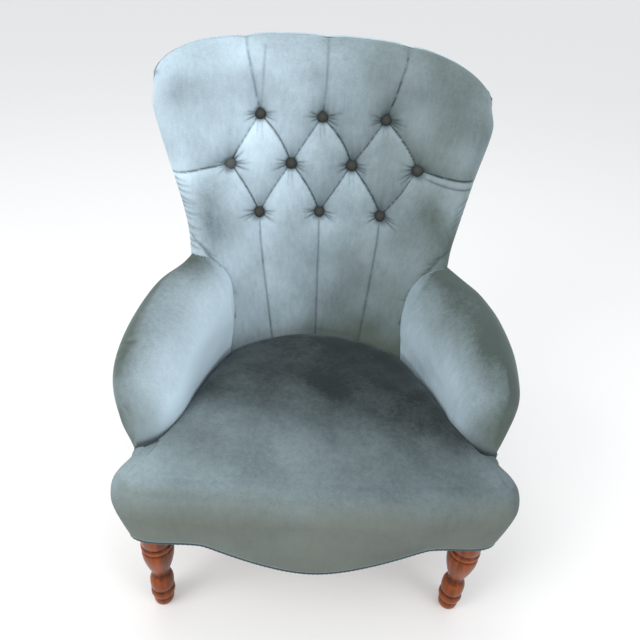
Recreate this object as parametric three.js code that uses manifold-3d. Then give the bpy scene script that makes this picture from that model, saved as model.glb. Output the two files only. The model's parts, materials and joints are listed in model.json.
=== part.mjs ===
// A low button-back armchair: a fan-shaped, deep-buttoned back, fat rolled arms and a crowned
// seat in worn velvet, over a hardwood frame on two turned front legs and two raked back legs.
// Millimetres, +Z up, the chair faces -Y. While it is drawn, y = 0 is near the front legs; the
// last lines set the origin on the floor under the middle of the chair.
import * as THREE from "three";
import { mergeVertices } from "three/addons/utils/BufferGeometryUtils.js";
import Module from "manifold-3d";

const wasm = await Module();
wasm.setup();

// Clearances
const TOUCH = 0.4; // between pieces that seat on each other
const TUCK = 2; // between two upholstered pieces that press together

// Seat
const SEAT_EDGE_Z = 345; // top of the seat where it tucks in against the back and arms
const SEAT_CROWN = 26; // rise of the seat's middle above its edge
const SEAT_SAG = 9; // hollow that use has left in the crown
const SEAT_TUCK_DEPTH = 8; // how far the seat dives into the crease
const NOSE_HALF_WIDTH = 331; // the seat in front of the arms
const NOSE_DEPTH = 117; // from the arm fronts to the middle of the front border
const NOSE_BACK_Y = 57; // where the seat's side returns end, at the arm fronts
const NOSE_SQUARENESS = 5; // exponent of the rounded front line
const NOSE_SKEW = 0.25; // how far the seat's lines are drawn towards the middle of the nose
const ROLL_RADIUS = 48; // the stuffed front edge
const CORNER_TIGHTNESS = 0.4; // share of that radius which its two front corners give up
const BORDER_WIDEST_Z = 303;
const BORDER_BOTTOM_Z = 242;
const BORDER_INSET = 8; // the border's lower edge stands back from its widest line
const BORDER_PAD = 22; // stuffing in front of the rail
const APRON_DROP = 65; // the serpentine dip in the middle of the front border
const APRON_HALF_WIDTH = NOSE_HALF_WIDTH - 146;

// Back
const RAKE = 0.36; // backward lean of the back, as a slope
const BACK_FACE_Y = 412; // face of the back at seat level, on the middle line
const BACK_FOOT_Z = 304; // lower edge of the stuffed back, below the seat
const CREST_Z = 902;
const SHOULDER_Z = CREST_Z - 102; // where the crest meets the side edges
const CREST_SQUARENESS = 3.2; // the two exponents of the crest line
const CREST_SHOULDER = 0.62;
const EDGE_CURL = 14; // the rolled edge turns in by this much where it meets the outside back
const HOLLOW_AT_SEAT = 97; // how far the face curves forward 200 mm out from the middle
const HOLLOW_AT_TOP = 24;
const HOLLOW_FADE_Z = CREST_Z - 157; // height where the hollow has eased to its top value
const HOLLOW_REACH = 200;
const BACK_DEPTH = 92; // from the face to the outside back, on the middle line
const REAR_HOLLOW_LOW = 44; // the same curve on the outside of the back
const REAR_HOLLOW_TOP = 28;
const RIM_THICKNESS = 5; // of the stuffed back where its rolled edge ends
const BACK_SIDE_ROLL = 62;
const BACK_TOP_ROLL = 70;
const RIM_LOW_Z = 496; // between these heights the back's side edge comes out past its timber
const RIM_HIGH_Z = 540;
// Half-width of the fan at heights up its side
const FAN_EDGE = [
  [BACK_FOOT_Z, 216],
  [430, 228],
  [500, 264],
  [560, 281],
  [SHOULDER_Z - 120, 319],
  [SHOULDER_Z - 40, 343],
  [SHOULDER_Z, 347],
];

// Buttons and folds
const BUTTON_RADIUS = 11;
const BUTTON_THICKNESS = 7;
const TWINE_RADIUS = 1.4;
const TOGGLE_RADIUS = 6;
const TOGGLE_THICKNESS = 2;
const BUTTON_PITCH = 126;
const OUTER_BUTTON_X = 190;
const BUTTON_DRIFT = -6; // the middle buttons sit a little to one side
const TOP_ROW_Z = CREST_Z - 149;
const ROW_PITCH = 90;
const BUTTON_PIT = 20; // how far a button pulls the face in, beyond the folds
const BUTTON_STANDOFF = 6; // the button's seat above the bottom of its pit
const PIT_REACH = 22;
const FOLD_DEPTH = 13;
const FOLD_REACH = 20;
const SIDE_FOLD_DROP = 12; // the side folds fall by this much from the outer buttons to the edges
const PLEAT_TOP_X = 165; // where the outer pleats cross the crest
const CHANNEL_FOOT_X = 88; // where the outer channels meet the seat

// Inside of the tub at seat level, from the middle of the back round to the front of an arm
const BACK_LINE = [
  [0, BACK_FACE_Y - 2],
  [88, BACK_FACE_Y - 21],
  [145, BACK_FACE_Y - 53],
  [173, BACK_FACE_Y - 80],
];
const ARM_LINE = [
  [NOSE_HALF_WIDTH - 130, BACK_FACE_Y - 149],
  [NOSE_HALF_WIDTH - 110, NOSE_BACK_Y + 133],
  [NOSE_HALF_WIDTH - 95, NOSE_BACK_Y + 65],
  [NOSE_HALF_WIDTH - 69, NOSE_BACK_Y + 23],
  [NOSE_HALF_WIDTH - 31, NOSE_BACK_Y + 3],
];

// Arms, as stations from the back to the front: outer edge in plan, top height, and how far the
// roll's peak lies towards its outer edge
const ARM_TOP_Z = 524;
const ARM_STATIONS = [
  { outer: [FAN_EDGE[2][1] - 6, BACK_FACE_Y + 13], top: ARM_TOP_Z, peak: 0.75 },
  { outer: [NOSE_HALF_WIDTH - 13, BACK_FACE_Y - 107], top: ARM_TOP_Z - 12, peak: 0.5 },
  { outer: [NOSE_HALF_WIDTH + 11, NOSE_BACK_Y + 148], top: ARM_TOP_Z - 24, peak: 0.35 },
  { outer: [NOSE_HALF_WIDTH + 11, NOSE_BACK_Y + 65], top: ARM_TOP_Z - 52, peak: 0.25 },
  { outer: [NOSE_HALF_WIDTH - 5, NOSE_BACK_Y + 23], top: ARM_TOP_Z - 108, peak: 0.2 },
  { outer: [NOSE_HALF_WIDTH - 22, NOSE_BACK_Y + 5.5], top: SEAT_EDGE_Z + 12, peak: 0 },
];
const ARM_BULGE = 5.5; // the inside arm swells over the seat
const ARM_HOLLOW = 0.45; // share of the arm's half-width that its timber takes up
const ARM_FOOT_Z = 304;
const ARM_HEM_END = 0.97; // the outside arm ends this far along the arm
const PANEL_LAP = 12; // how far its rear edge wraps on behind its first line of points

// Outside of the chair at rail level: x at distances back from the front legs
const SIDE_LINE = [
  [42, NOSE_HALF_WIDTH - 25],
  [150, NOSE_HALF_WIDTH - 26],
  [240, NOSE_HALF_WIDTH - 34],
  [320, 278],
  [400, 238],
];

// Timber
const RAIL_TOP_Z = 300;
const RAIL_BOTTOM_Z = BORDER_BOTTOM_Z + TUCK;
const RAIL_THICKNESS = 24;
const RAIL_INSET = 5; // the rails stand in from the outside panels
const LEG_X = NOSE_HALF_WIDTH - 61;
const LEG_Y = 6;
const LEG_BLOCK = 38; // the square that the rails are jointed to
const POST_X = 214;
const POST_TOP_X = 240;
const POST_WIDTH = 28;
const POST_FLARE_Z = 500; // above this the posts lean outwards
const REAR_LEG_SPLAY = 0.4;
const REAR_FOOT = 27;
const CREST_RAIL_HEIGHT = 46;
const CREST_RAIL_HALF = 262;
const STAY_RAIL_Z = 345;
const STAY_RAIL_HEIGHT = 45;
const ARM_RAIL_WIDTH = 30;
const ARM_RAIL_HEIGHT = 20;
const ARM_RAIL_START = 0.06; // its ends, as shares of the arm's length
const ARM_RAIL_END = 0.6;
const STUMP_WIDTH = 20;
const CORNER_BLOCK = 52;
const CORNER_BLOCK_HEIGHT = 40;
const CORNER_BLOCK_Z = RAIL_BOTTOM_Z + 12;

// Springing and linings
const WEB_WIDTH = 50;
const WEB_THICKNESS = 1.4;
const WEB_SPACING = 88;
const DECK_MIDDLE_Y = 190;
const SPRING_RADIUS = 34;
const SPRING_WIRE = 1.8;
const SPRING_TURNS = 3;
const SPRING_STEPS = 8; // straight lengths in one turn
const HESSIAN_THICKNESS = 1.5;
const CLOTH_THICKNESS = 3;
const DUST_COVER_THICKNESS = 1;
const WELT_RADIUS = 3;

const RISE_OF = (n) => new THREE.Vector3(0, 0, n);
const lerp = THREE.MathUtils.lerp;
const clamp01 = (t) => THREE.MathUtils.clamp(t, 0, 1);
const ease = (t) => THREE.MathUtils.smoothstep(t, 0, 1);

// Materials, coloured from the chair
const finish = (color, roughness) => new THREE.MeshStandardMaterial({ color, roughness, metalness: 0 });
const VELVET = finish(0x9db4b8, 0.85);
const SEAT_VELVET = finish(0x6f878d, 0.85);
const BUTTON_VELVET = finish(0x6c7a7c, 0.8);
const TURNED_WOOD = finish(0x9c4f1e, 0.35);
const FRAME_WOOD = finish(0xc49a6c, 0.7);
const JUTE = finish(0xb89a6a, 0.9);
const DUST_CLOTH = finish(0x2a2a2c, 0.9);
const SPRING_STEEL = new THREE.MeshStandardMaterial({ color: 0x9a9a98, roughness: 0.35, metalness: 0.9 });

const chair = new THREE.Group();

function addPiece(name, geometry, material) {
  const piece = new THREE.Mesh(geometry, material);
  piece.name = name;
  chair.add(piece);
  return piece;
}

// Turns a geometry's faces outwards, whichever way its grid ran.
function facingOut(geometry) {
  const p = geometry.getAttribute("position");
  const index = geometry.index.array;
  const [a, b, c] = [new THREE.Vector3(), new THREE.Vector3(), new THREE.Vector3()];
  let volume = 0;
  for (let i = 0; i < index.length; i += 3) {
    a.fromBufferAttribute(p, index[i]);
    b.fromBufferAttribute(p, index[i + 1]);
    c.fromBufferAttribute(p, index[i + 2]);
    volume += a.dot(b.cross(c));
  }
  if (volume < 0) {
    for (let i = 0; i < index.length; i += 3) {
      [index[i], index[i + 1]] = [index[i + 1], index[i]];
    }
  }
  return geometry;
}

function geometryFrom(points, triangles) {
  const geometry = new THREE.BufferGeometry().setFromPoints(points);
  geometry.setIndex(triangles);
  return facingOut(geometry);
}

function solidFrom(geometry) {
  const bare = geometry.clone();
  for (const name of Object.keys(bare.attributes)) {
    if (name !== "position") bare.deleteAttribute(name);
  }
  const merged = mergeVertices(bare, 1e-3);
  return new wasm.Manifold(
    new wasm.Mesh({
      numProp: 3,
      vertProperties: merged.attributes.position.array,
      triVerts: new Uint32Array(merged.index.array),
    }),
  );
}

function geometryOf(solid) {
  const mesh = solid.getMesh();
  const geometry = new THREE.BufferGeometry();
  geometry.setAttribute("position", new THREE.BufferAttribute(mesh.vertProperties, 3));
  geometry.setIndex(new THREE.BufferAttribute(mesh.triVerts, 1));
  return geometry;
}

// A closed body between two surfaces drawn on one grid. The back may use every nth column and
// row, and is then stitched to the finer edge of the face.
function gridBody({ columns, rows, face, back, everyColumn = 1, everyRow = 1, rising = () => true }) {
  const points = [];
  for (let j = 0; j <= rows; j++) {
    for (let i = 0; i <= columns; i++) points.push(face(i / columns, j / rows));
  }
  const backStart = points.length;
  const backColumns = columns / everyColumn;
  const backRows = rows / everyRow;
  for (let j = 0; j <= backRows; j++) {
    for (let i = 0; i <= backColumns; i++) points.push(back(i / backColumns, j / backRows));
  }
  const faceAt = (i, j) => j * (columns + 1) + i;
  const backAt = (i, j) => backStart + (j / everyRow) * (backColumns + 1) + i / everyColumn;
  const triangles = [];

  for (let j = 0; j < rows; j++) {
    for (let i = 0; i < columns; i++) {
      const [a, b, c, d] = [faceAt(i, j), faceAt(i + 1, j), faceAt(i + 1, j + 1), faceAt(i, j + 1)];
      if (rising(i, j)) triangles.push(a, b, c, a, c, d);
      else triangles.push(a, b, d, b, c, d);
    }
  }
  for (let j = 0; j < rows; j += everyRow) {
    for (let i = 0; i < columns; i += everyColumn) {
      const [ii, jj] = [i + everyColumn, j + everyRow];
      const [a, b, c, d] = [backAt(i, j), backAt(ii, j), backAt(ii, jj), backAt(i, jj)];
      triangles.push(b, a, c, c, a, d);
    }
  }

  // One wall strip, between fine edge points and the two back points at its ends.
  const stitch = (fine, first, last) => {
    const middle = fine.length >> 1;
    for (let m = 0; m < fine.length - 1; m++) {
      triangles.push(fine[m + 1], fine[m], m < middle ? first : last);
    }
    triangles.push(first, last, fine[middle]);
  };
  for (let i = 0; i < columns; i += everyColumn) {
    const steps = Array.from({ length: everyColumn + 1 }, (_, m) => i + m);
    const next = i + everyColumn;
    stitch(steps.map((m) => faceAt(m, 0)), backAt(i, 0), backAt(next, 0));
    const top = steps.map((m) => faceAt(m, rows)).reverse();
    stitch(top, backAt(next, rows), backAt(i, rows));
  }
  for (let j = 0; j < rows; j += everyRow) {
    const steps = Array.from({ length: everyRow + 1 }, (_, m) => j + m);
    const next = j + everyRow;
    stitch(steps.map((m) => faceAt(columns, m)), backAt(columns, j), backAt(columns, next));
    const left = steps.map((m) => faceAt(0, m)).reverse();
    stitch(left, backAt(0, next), backAt(0, j));
  }
  return geometryFrom(points, triangles);
}

// A body lofted through closed contours, which all have the same number of points.
function loftBody(contours, flatContour) {
  const count = flatContour.length;
  const points = contours.flat();
  const triangles = [];
  for (let k = 0; k < contours.length - 1; k++) {
    for (let m = 0; m < count; m++) {
      const next = (m + 1) % count;
      const [a, b, c, d] = [k * count + m, k * count + next, (k + 1) * count + next, (k + 1) * count + m];
      triangles.push(a, b, c, a, c, d);
    }
  }
  const caps = THREE.ShapeUtils.triangulateShape(flatContour, []);
  const end = (contours.length - 1) * count;
  const forwards = THREE.ShapeUtils.area(flatContour) > 0;
  for (const [a, b, c] of caps) {
    if (forwards) triangles.push(b, a, c, end + a, end + b, end + c);
    else triangles.push(a, b, c, end + b, end + a, end + c);
  }
  return geometryFrom(points, triangles);
}

function tubeBody(curve, radius, steps, sides) {
  const section = new THREE.Shape(
    Array.from({ length: sides }, (_, k) => {
      const angle = (k / sides) * 2 * Math.PI;
      return new THREE.Vector2(radius * Math.cos(angle), radius * Math.sin(angle));
    }),
  );
  return new THREE.ExtrudeGeometry(section, { steps, extrudePath: curve, bevelEnabled: false });
}

// A smooth value read off a short table of [key, value] pairs.
function tableCurve(table) {
  const slopes = table.map((_, i) => {
    const before = table[Math.max(i - 1, 0)];
    const after = table[Math.min(i + 1, table.length - 1)];
    return (after[1] - before[1]) / (after[0] - before[0]);
  });
  return (key) => {
    const k = THREE.MathUtils.clamp(key, table[0][0], table[table.length - 1][0]);
    let i = 0;
    while (i < table.length - 2 && k > table[i + 1][0]) i++;
    const [[k0, v0], [k1, v1]] = [table[i], table[i + 1]];
    const span = k1 - k0;
    const t = (k - k0) / span;
    const [t2, t3] = [t * t, t * t * t];
    return (
      (2 * t3 - 3 * t2 + 1) * v0 +
      (t3 - 2 * t2 + t) * span * slopes[i] +
      (3 * t2 - 2 * t3) * v1 +
      (t3 - t2) * span * slopes[i + 1]
    );
  };
}

// The back's surfaces

const fanHalfWidth = tableCurve(FAN_EDGE);

const hollowAt = (z, low, high) => {
  const share = ease((z - SEAT_EDGE_Z) / (HOLLOW_FADE_Z - SEAT_EDGE_Z));
  return lerp(low, high, share) / HOLLOW_REACH ** 2;
};
const faceY = (x, z) =>
  BACK_FACE_Y + RAKE * (z - SEAT_EDGE_Z) - hollowAt(z, HOLLOW_AT_SEAT, HOLLOW_AT_TOP) * x * x;
const rearY = (x, z) =>
  BACK_FACE_Y + BACK_DEPTH + RAKE * (z - SEAT_EDGE_Z) - hollowAt(z, REAR_HOLLOW_LOW, REAR_HOLLOW_TOP) * x * x;

const crestAt = (x) => {
  const share = Math.abs(x) / fanHalfWidth(SHOULDER_Z);
  const rise = (1 - Math.min(1, share) ** CREST_SQUARENESS) ** CREST_SHOULDER;
  return lerp(SHOULDER_Z, CREST_Z, rise);
};

const MIDDLE_ROW_Z = TOP_ROW_Z - ROW_PITCH;
const BOTTOM_ROW_Z = TOP_ROW_Z - 2 * ROW_PITCH;
const BUTTONS = [
  { row: "top", place: -1, x: BUTTON_DRIFT - BUTTON_PITCH, z: TOP_ROW_Z },
  { row: "top", place: 0, x: BUTTON_DRIFT, z: TOP_ROW_Z },
  { row: "top", place: 1, x: BUTTON_DRIFT + BUTTON_PITCH, z: TOP_ROW_Z },
  { row: "outer", place: -1, x: -OUTER_BUTTON_X, z: MIDDLE_ROW_Z },
  { row: "middle", place: -0.5, x: BUTTON_DRIFT - BUTTON_PITCH / 2, z: MIDDLE_ROW_Z },
  { row: "middle", place: 0.5, x: BUTTON_DRIFT + BUTTON_PITCH / 2, z: MIDDLE_ROW_Z },
  { row: "outer", place: 1, x: OUTER_BUTTON_X, z: MIDDLE_ROW_Z },
  { row: "bottom", place: -1, x: BUTTON_DRIFT - BUTTON_PITCH, z: BOTTOM_ROW_Z },
  { row: "bottom", place: 0, x: BUTTON_DRIFT, z: BOTTOM_ROW_Z },
  { row: "bottom", place: 1, x: BUTTON_DRIFT + BUTTON_PITCH, z: BOTTOM_ROW_Z },
];

// Every fold line as { from, to, start depth, end depth }, with points as [x, z].
function foldLines() {
  const folds = [];
  const inRow = (...rows) => BUTTONS.filter((button) => rows.includes(button.row));
  for (const button of inRow("middle", "outer")) {
    for (const other of inRow("top", "bottom")) {
      if (Math.abs(other.x - button.x) < BUTTON_PITCH * 0.6) {
        folds.push({ from: button, to: other, start: FOLD_DEPTH, end: FOLD_DEPTH });
      }
    }
  }
  for (const button of inRow("outer")) {
    const edge = { x: button.place * fanHalfWidth(button.z), z: button.z - SIDE_FOLD_DROP };
    folds.push({ from: button, to: edge, start: FOLD_DEPTH, end: FOLD_DEPTH * 0.4 });
  }
  for (const button of inRow("top")) {
    const top = { x: BUTTON_DRIFT + button.place * PLEAT_TOP_X, z: CREST_Z };
    folds.push({ from: button, to: top, start: FOLD_DEPTH, end: FOLD_DEPTH * 0.35 });
  }
  for (const button of inRow("bottom")) {
    const foot = { x: button.place * CHANNEL_FOOT_X, z: BACK_FOOT_Z };
    folds.push({ from: button, to: foot, start: FOLD_DEPTH, end: FOLD_DEPTH * 0.5 });
  }
  return folds;
}
const FOLDS = foldLines();

// How far the folds and buttons pull the face in at a point of the back.
function tuftDepth(x, z) {
  let fold = 0;
  for (const { from, to, start, end } of FOLDS) {
    const [dx, dz] = [to.x - from.x, to.z - from.z];
    const along = clamp01(((x - from.x) * dx + (z - from.z) * dz) / (dx * dx + dz * dz));
    const away = Math.hypot(x - from.x - along * dx, z - from.z - along * dz);
    fold = Math.max(fold, lerp(start, end, along) * Math.exp(-away / FOLD_REACH));
  }
  let pit = 0;
  for (const button of BUTTONS) {
    pit += BUTTON_PIT * Math.exp(-Math.hypot(x - button.x, z - button.z) / PIT_REACH);
  }
  return fold + pit;
}

// How full the stuffing is near the rolled edges: 0 at the edge, 1 on the flat of the face.
const edgeFill = (distance, reach) => Math.sqrt(1 - (1 - clamp01(distance / reach)) ** 2);
const backFill = (x, z) =>
  edgeFill(fanHalfWidth(z) - Math.abs(x), BACK_SIDE_ROLL) * edgeFill(crestAt(x) - z, BACK_TOP_ROLL);

// Back of the padding: in front of the timber, but out to the outside back along the upper edges.
const padBackY = (x, z) => rearY(x, z) - POST_DEPTH - HESSIAN_THICKNESS - TUCK;
const rimY = (x, z) => {
  const flush = rearY(x, z) - CLOTH_THICKNESS - 3 * TOUCH;
  return lerp(padBackY(x, z), flush, ease((z - RIM_LOW_Z) / (RIM_HIGH_Z - RIM_LOW_Z)));
};
const paddedFaceY = (x, z) => {
  const rim = rimY(x, z) - RIM_THICKNESS;
  return rim - (rim - faceY(x, z) - tuftDepth(x, z)) * backFill(x, z);
};

// The grid of the back: its columns run along the channels and pleats, its rows through the buttons.
const BACK_COLUMNS = 40;
const BACK_ROWS = 26;
const BUTTON_ROW = 20 / BACK_ROWS;
const PLEAT_COLUMN = 8 / (BACK_COLUMNS / 2);
const OUTER_BUTTON_COLUMN = 12 / (BACK_COLUMNS / 2);

const pleatX = tableCurve([
  [BACK_FOOT_Z, CHANNEL_FOOT_X],
  [BOTTOM_ROW_Z, BUTTON_PITCH],
  [TOP_ROW_Z, BUTTON_PITCH],
  [CREST_Z, PLEAT_TOP_X],
]);

function backGridPoint(u, v) {
  const side = 2 * u - 1;
  const across = Math.abs(side);
  const aboveButtons = clamp01((v - BUTTON_ROW) / (1 - BUTTON_ROW));
  const level = v <= BUTTON_ROW
    ? lerp(BACK_FOOT_Z, TOP_ROW_Z, v / BUTTON_ROW)
    : lerp(TOP_ROW_Z, CREST_Z, 1 - (1 - aboveButtons) ** 1.5);
  const pleat = pleatX(level);
  const edgeLevel = level - (CREST_Z - SHOULDER_Z) * aboveButtons ** 1.5;
  const edge = fanHalfWidth(edgeLevel);
  let x;
  if (across <= PLEAT_COLUMN) {
    x = (across / PLEAT_COLUMN) * pleat;
  } else if (across <= OUTER_BUTTON_COLUMN) {
    const share = (across - PLEAT_COLUMN) / (OUTER_BUTTON_COLUMN - PLEAT_COLUMN);
    x = lerp(pleat, outerColumnX(pleat, edge), share);
  } else {
    const share = (across - OUTER_BUTTON_COLUMN) / (1 - OUTER_BUTTON_COLUMN);
    x = lerp(outerColumnX(pleat, edge), edge, 1 - (1 - share) ** 1.5);
  }
  const drop = CREST_Z - crestAt(x);
  const z = level - drop * aboveButtons ** 1.5;
  if (across === 1) x -= EDGE_CURL;
  const drift = BUTTON_DRIFT * clamp01((OUTER_BUTTON_COLUMN - across) / (OUTER_BUTTON_COLUMN - PLEAT_COLUMN));
  return { x: Math.sign(side) * x + drift, z: v === 1 ? z - EDGE_CURL : z };
}
const outerColumnX = (pleat, edge) =>
  lerp(pleat, edge, (OUTER_BUTTON_X - BUTTON_PITCH) / (fanHalfWidth(MIDDLE_ROW_Z) - BUTTON_PITCH));

// Rows of the grid that carry a fold along their diagonals
const foldRises = (i, j) => {
  const block = Math.floor((i - BACK_COLUMNS / 2) / 4) + Math.floor(j / 4);
  return Math.abs(block) % 2 === 1;
};

const FACE_TILT = Math.PI - Math.atan(RAKE); // turns an upright piece square to the raked face

// The space that one button, its twine and its toggle take up, as a solid of revolution about
// the line square to the raked face.
function buttonProfile(button, extra) {
  const liningY = rearY(button.x, button.z) - POST_DEPTH;
  const throughPad = (liningY - buttonSeatY(button)) * Math.abs(Math.cos(FACE_TILT)) + 4 * TOUCH;
  return [
    new THREE.Vector2(0, -throughPad - TOGGLE_THICKNESS - extra),
    new THREE.Vector2(TOGGLE_RADIUS + extra, -throughPad - TOGGLE_THICKNESS - extra),
    new THREE.Vector2(TOGGLE_RADIUS + extra, -throughPad + extra),
    new THREE.Vector2(TWINE_RADIUS + extra, -throughPad + extra),
    new THREE.Vector2(TWINE_RADIUS + extra, -extra),
    new THREE.Vector2(BUTTON_RADIUS + extra, -extra),
    new THREE.Vector2(BUTTON_RADIUS + extra, BUTTON_THICKNESS * 0.4 + extra),
    new THREE.Vector2(BUTTON_RADIUS * 0.7 + extra, BUTTON_THICKNESS * 0.85 + extra),
    new THREE.Vector2(0, BUTTON_THICKNESS + extra),
  ];
}

const buttonSeatY = (button) => paddedFaceY(button.x, button.z) - BUTTON_STANDOFF;

function onBackFace(geometry, button) {
  geometry.rotateX(FACE_TILT);
  geometry.translate(button.x, buttonSeatY(button), button.z);
  return geometry;
}
const BUTTON_SIDES = 10;
const POST_DEPTH = 30; // outside face of the chair to the front of its back timber

function buttonBody(button) {
  return onBackFace(new THREE.LatheGeometry(buttonProfile(button, 0), BUTTON_SIDES), button);
}

// The hole that a button needs: its own outline, grown, and open above the button.
function buttonCutter(button) {
  const profile = buttonProfile(button, TOUCH);
  const open = profile.slice(0, 6);
  open.push(new THREE.Vector2(BUTTON_RADIUS + TOUCH, 4 * BUTTON_PIT));
  open.push(new THREE.Vector2(0, 4 * BUTTON_PIT));
  return solidFrom(onBackFace(new THREE.LatheGeometry(open, BUTTON_SIDES), button));
}

// The stuffed back before its button holes. Grown, and run through to behind the chair, it cuts
// the seat of the back out of the arms.
function backBody(grow = 0) {
  const place = (u, v) => {
    const { x, z } = backGridPoint(u, v);
    return { x, z, wide: x * (1 + grow / fanHalfWidth(z)), high: z + grow * (2 * v - 1) };
  };
  const onRim = (u, v) => u === 0 || u === 1 || v === 1;
  const face = (u, v) => {
    const { x, z, wide, high } = place(u, v);
    const y = onRim(u, v) ? rimY(x, z) - RIM_THICKNESS : paddedFaceY(x, z);
    return new THREE.Vector3(wide, y - grow, high);
  };
  const back = (u, v) => {
    const { x, z, wide, high } = place(u, v);
    return new THREE.Vector3(wide, (onRim(u, v) ? rimY(x, z) : padBackY(x, z)) + grow * BACK_DEPTH, high);
  };
  const grid = { columns: BACK_COLUMNS, rows: BACK_ROWS, everyColumn: 4, everyRow: 2, rising: foldRises };
  return gridBody({ ...grid, face, back });
}

function insideBack() {
  let pad = solidFrom(backBody());
  for (const button of BUTTONS) pad = pad.subtract(buttonCutter(button));
  for (const side of [-1, 1]) pad = pad.subtract(solidFrom(armRail(side, TOUCH)));
  return geometryOf(pad);
}

// A board that follows the curve of the back, between two heights and two distances in front of
// the outside face.
function curvedBoard({ half, low, high, columns, front = POST_DEPTH, rear = CLOTH_THICKNESS + 3 * TOUCH }) {
  const at = (inset) => (u, v) => {
    const x = lerp(-half, half, u);
    const z = lerp(low(x), high(x), v);
    return new THREE.Vector3(x, rearY(x, z) - inset, z);
  };
  return gridBody({ columns, rows: 1, face: at(front), back: at(rear) });
}

// Outside back and posts

const postX = (z) => lerp(POST_X, POST_TOP_X, clamp01((z - POST_FLARE_Z) / (SHOULDER_Z - POST_FLARE_Z)));
const crestRailHigh = (x) => crestAt(x) - 34;
const crestRailLow = (x) => crestRailHigh(x) - CREST_RAIL_HEIGHT;

// Front face of a back post at a distance from the middle of the chair, from floor to crest rail.
function postFront(x, z) {
  const down = Math.max(0, RAIL_BOTTOM_Z - z);
  const splay = REAR_LEG_SPLAY * down * (0.6 + (0.4 * down) / RAIL_BOTTOM_Z);
  return rearY(x, Math.max(z, RAIL_BOTTOM_Z)) - POST_DEPTH + splay * ease(down / 20);
}
const POST_THICKNESS = POST_DEPTH - CLOTH_THICKNESS - 3 * TOUCH;

function backPost(side, grow = 0) {
  const top = crestRailLow(POST_TOP_X + POST_WIDTH / 2) - TUCK + grow;
  const legShare = 1 / 3;
  const at = (inset) => (u, v) => {
    const z = v < legShare
      ? lerp(0, RAIL_BOTTOM_Z, v / legShare)
      : lerp(RAIL_BOTTOM_Z, top, (v - legShare) / (1 - legShare));
    const share = clamp01(z / RAIL_BOTTOM_Z);
    const width = lerp(REAR_FOOT, POST_WIDTH, share) + 2 * grow;
    const depth = lerp(REAR_FOOT, POST_THICKNESS, share);
    const x = postX(z) + (u - 0.5) * width;
    return new THREE.Vector3(side * x, postFront(x, z) + inset * depth + (2 * inset - 1) * grow, z);
  };
  return gridBody({ columns: 1, rows: 24, face: at(0), back: at(1) });
}

const OUTSIDE_BACK_LOW_HALF = 244;
const outsideHalfWidth = (z) => Math.max(fanHalfWidth(z) - EDGE_CURL, OUTSIDE_BACK_LOW_HALF);

function outsideBack() {
  const columns = 12;
  const rows = 14;
  const at = (offset) => (u, v) => {
    const side = 2 * u - 1;
    const level = lerp(RAIL_BOTTOM_Z, CREST_Z, v);
    const drop = v * v * v * v;
    const edgeZ = level - (CREST_Z - SHOULDER_Z) * drop;
    const x = side * outsideHalfWidth(edgeZ);
    const z = level - (CREST_Z - crestAt(x)) * drop - EDGE_CURL * v;
    return new THREE.Vector3(x, rearY(x, z) + offset, z);
  };
  return gridBody({ columns, rows, face: at(-CLOTH_THICKNESS), back: at(0) });
}

function backHessian() {
  const half = POST_X - POST_WIDTH / 2 - TOUCH;
  const at = (inset) => (u, v) => {
    const x = lerp(-half, half, u);
    const z = lerp(STAY_RAIL_Z + STAY_RAIL_HEIGHT + 4, crestRailLow(0) - 24, v);
    return new THREE.Vector3(x, rearY(x, z) - POST_DEPTH - inset, z);
  };
  let sheet = solidFrom(gridBody({ columns: 10, rows: 6, face: at(HESSIAN_THICKNESS), back: at(0) }));
  for (const button of BUTTONS) sheet = sheet.subtract(buttonCutter(button));
  return geometryOf(sheet);
}

// The seat

class NoseLine extends THREE.Curve {
  constructor(half) {
    super();
    this.half = half;
  }
  getPoint(t) {
    const angle = (t - 0.5) * Math.PI;
    const power = 2 / NOSE_SQUARENESS;
    const x = Math.sign(angle) * this.half * Math.abs(Math.sin(angle)) ** power;
    const y = NOSE_BACK_Y - NOSE_DEPTH * Math.abs(Math.cos(angle)) ** power;
    return new THREE.Vector3(x, y, 0);
  }
}
const noseLine = new NoseLine(NOSE_HALF_WIDTH);
noseLine.arcLengthDivisions = 800;

const tubPoints = [...BACK_LINE, ...ARM_LINE].map(([x, y]) => new THREE.Vector3(x, y, 0));
const tubRight = new THREE.CatmullRomCurve3(tubPoints, false, "centripetal");
const tubWhole = new THREE.CatmullRomCurve3(
  [...tubPoints.slice(1).reverse().map((p) => new THREE.Vector3(-p.x, p.y, 0)), ...tubPoints],
  false,
  "centripetal",
);

// Unit vector that points out of a plan curve's left-hand side, as it is walked.
function leftOf(curve, t) {
  const tangent = curve.getTangentAt(t);
  return new THREE.Vector3(-tangent.y, tangent.x, 0).normalize();
}

const apronDrop = (x) => {
  const share = ease(1 - Math.abs(x) / APRON_HALF_WIDTH);
  return APRON_DROP * share ** 0.65;
};

// The seat's lines run from the tub line to the nose, drawn a little to the middle so that they
// pass in front of the arms.
function seatFrame(u) {
  const away = Math.abs(2 * u - 1);
  const noseShare = 0.5 + 0.5 * Math.sign(u - 0.5) * away * (1 - NOSE_SKEW * (1 - away));
  const outer = noseLine.getPointAt(noseShare);
  const outward = leftOf(noseLine, noseShare).negate();
  const inner = tubWhole.getPointAt(u).addScaledVector(leftOf(tubWhole, u), -TUCK);
  const room = outer.distanceTo(inner);
  const corner = 2 * Math.abs(outward.x * outward.y); // 1 where the front line turns a corner
  const radius = Math.min(ROLL_RADIUS * (1 - CORNER_TIGHTNESS * corner), 0.7 * room);
  const inset = BORDER_INSET * (1 - corner);
  return { outer, outward, inner, room, radius, inset };
}

const SEAT_TOP_SHARE = 8 / 15;
const SEAT_ROLL_SHARE = 12 / 15;

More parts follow.
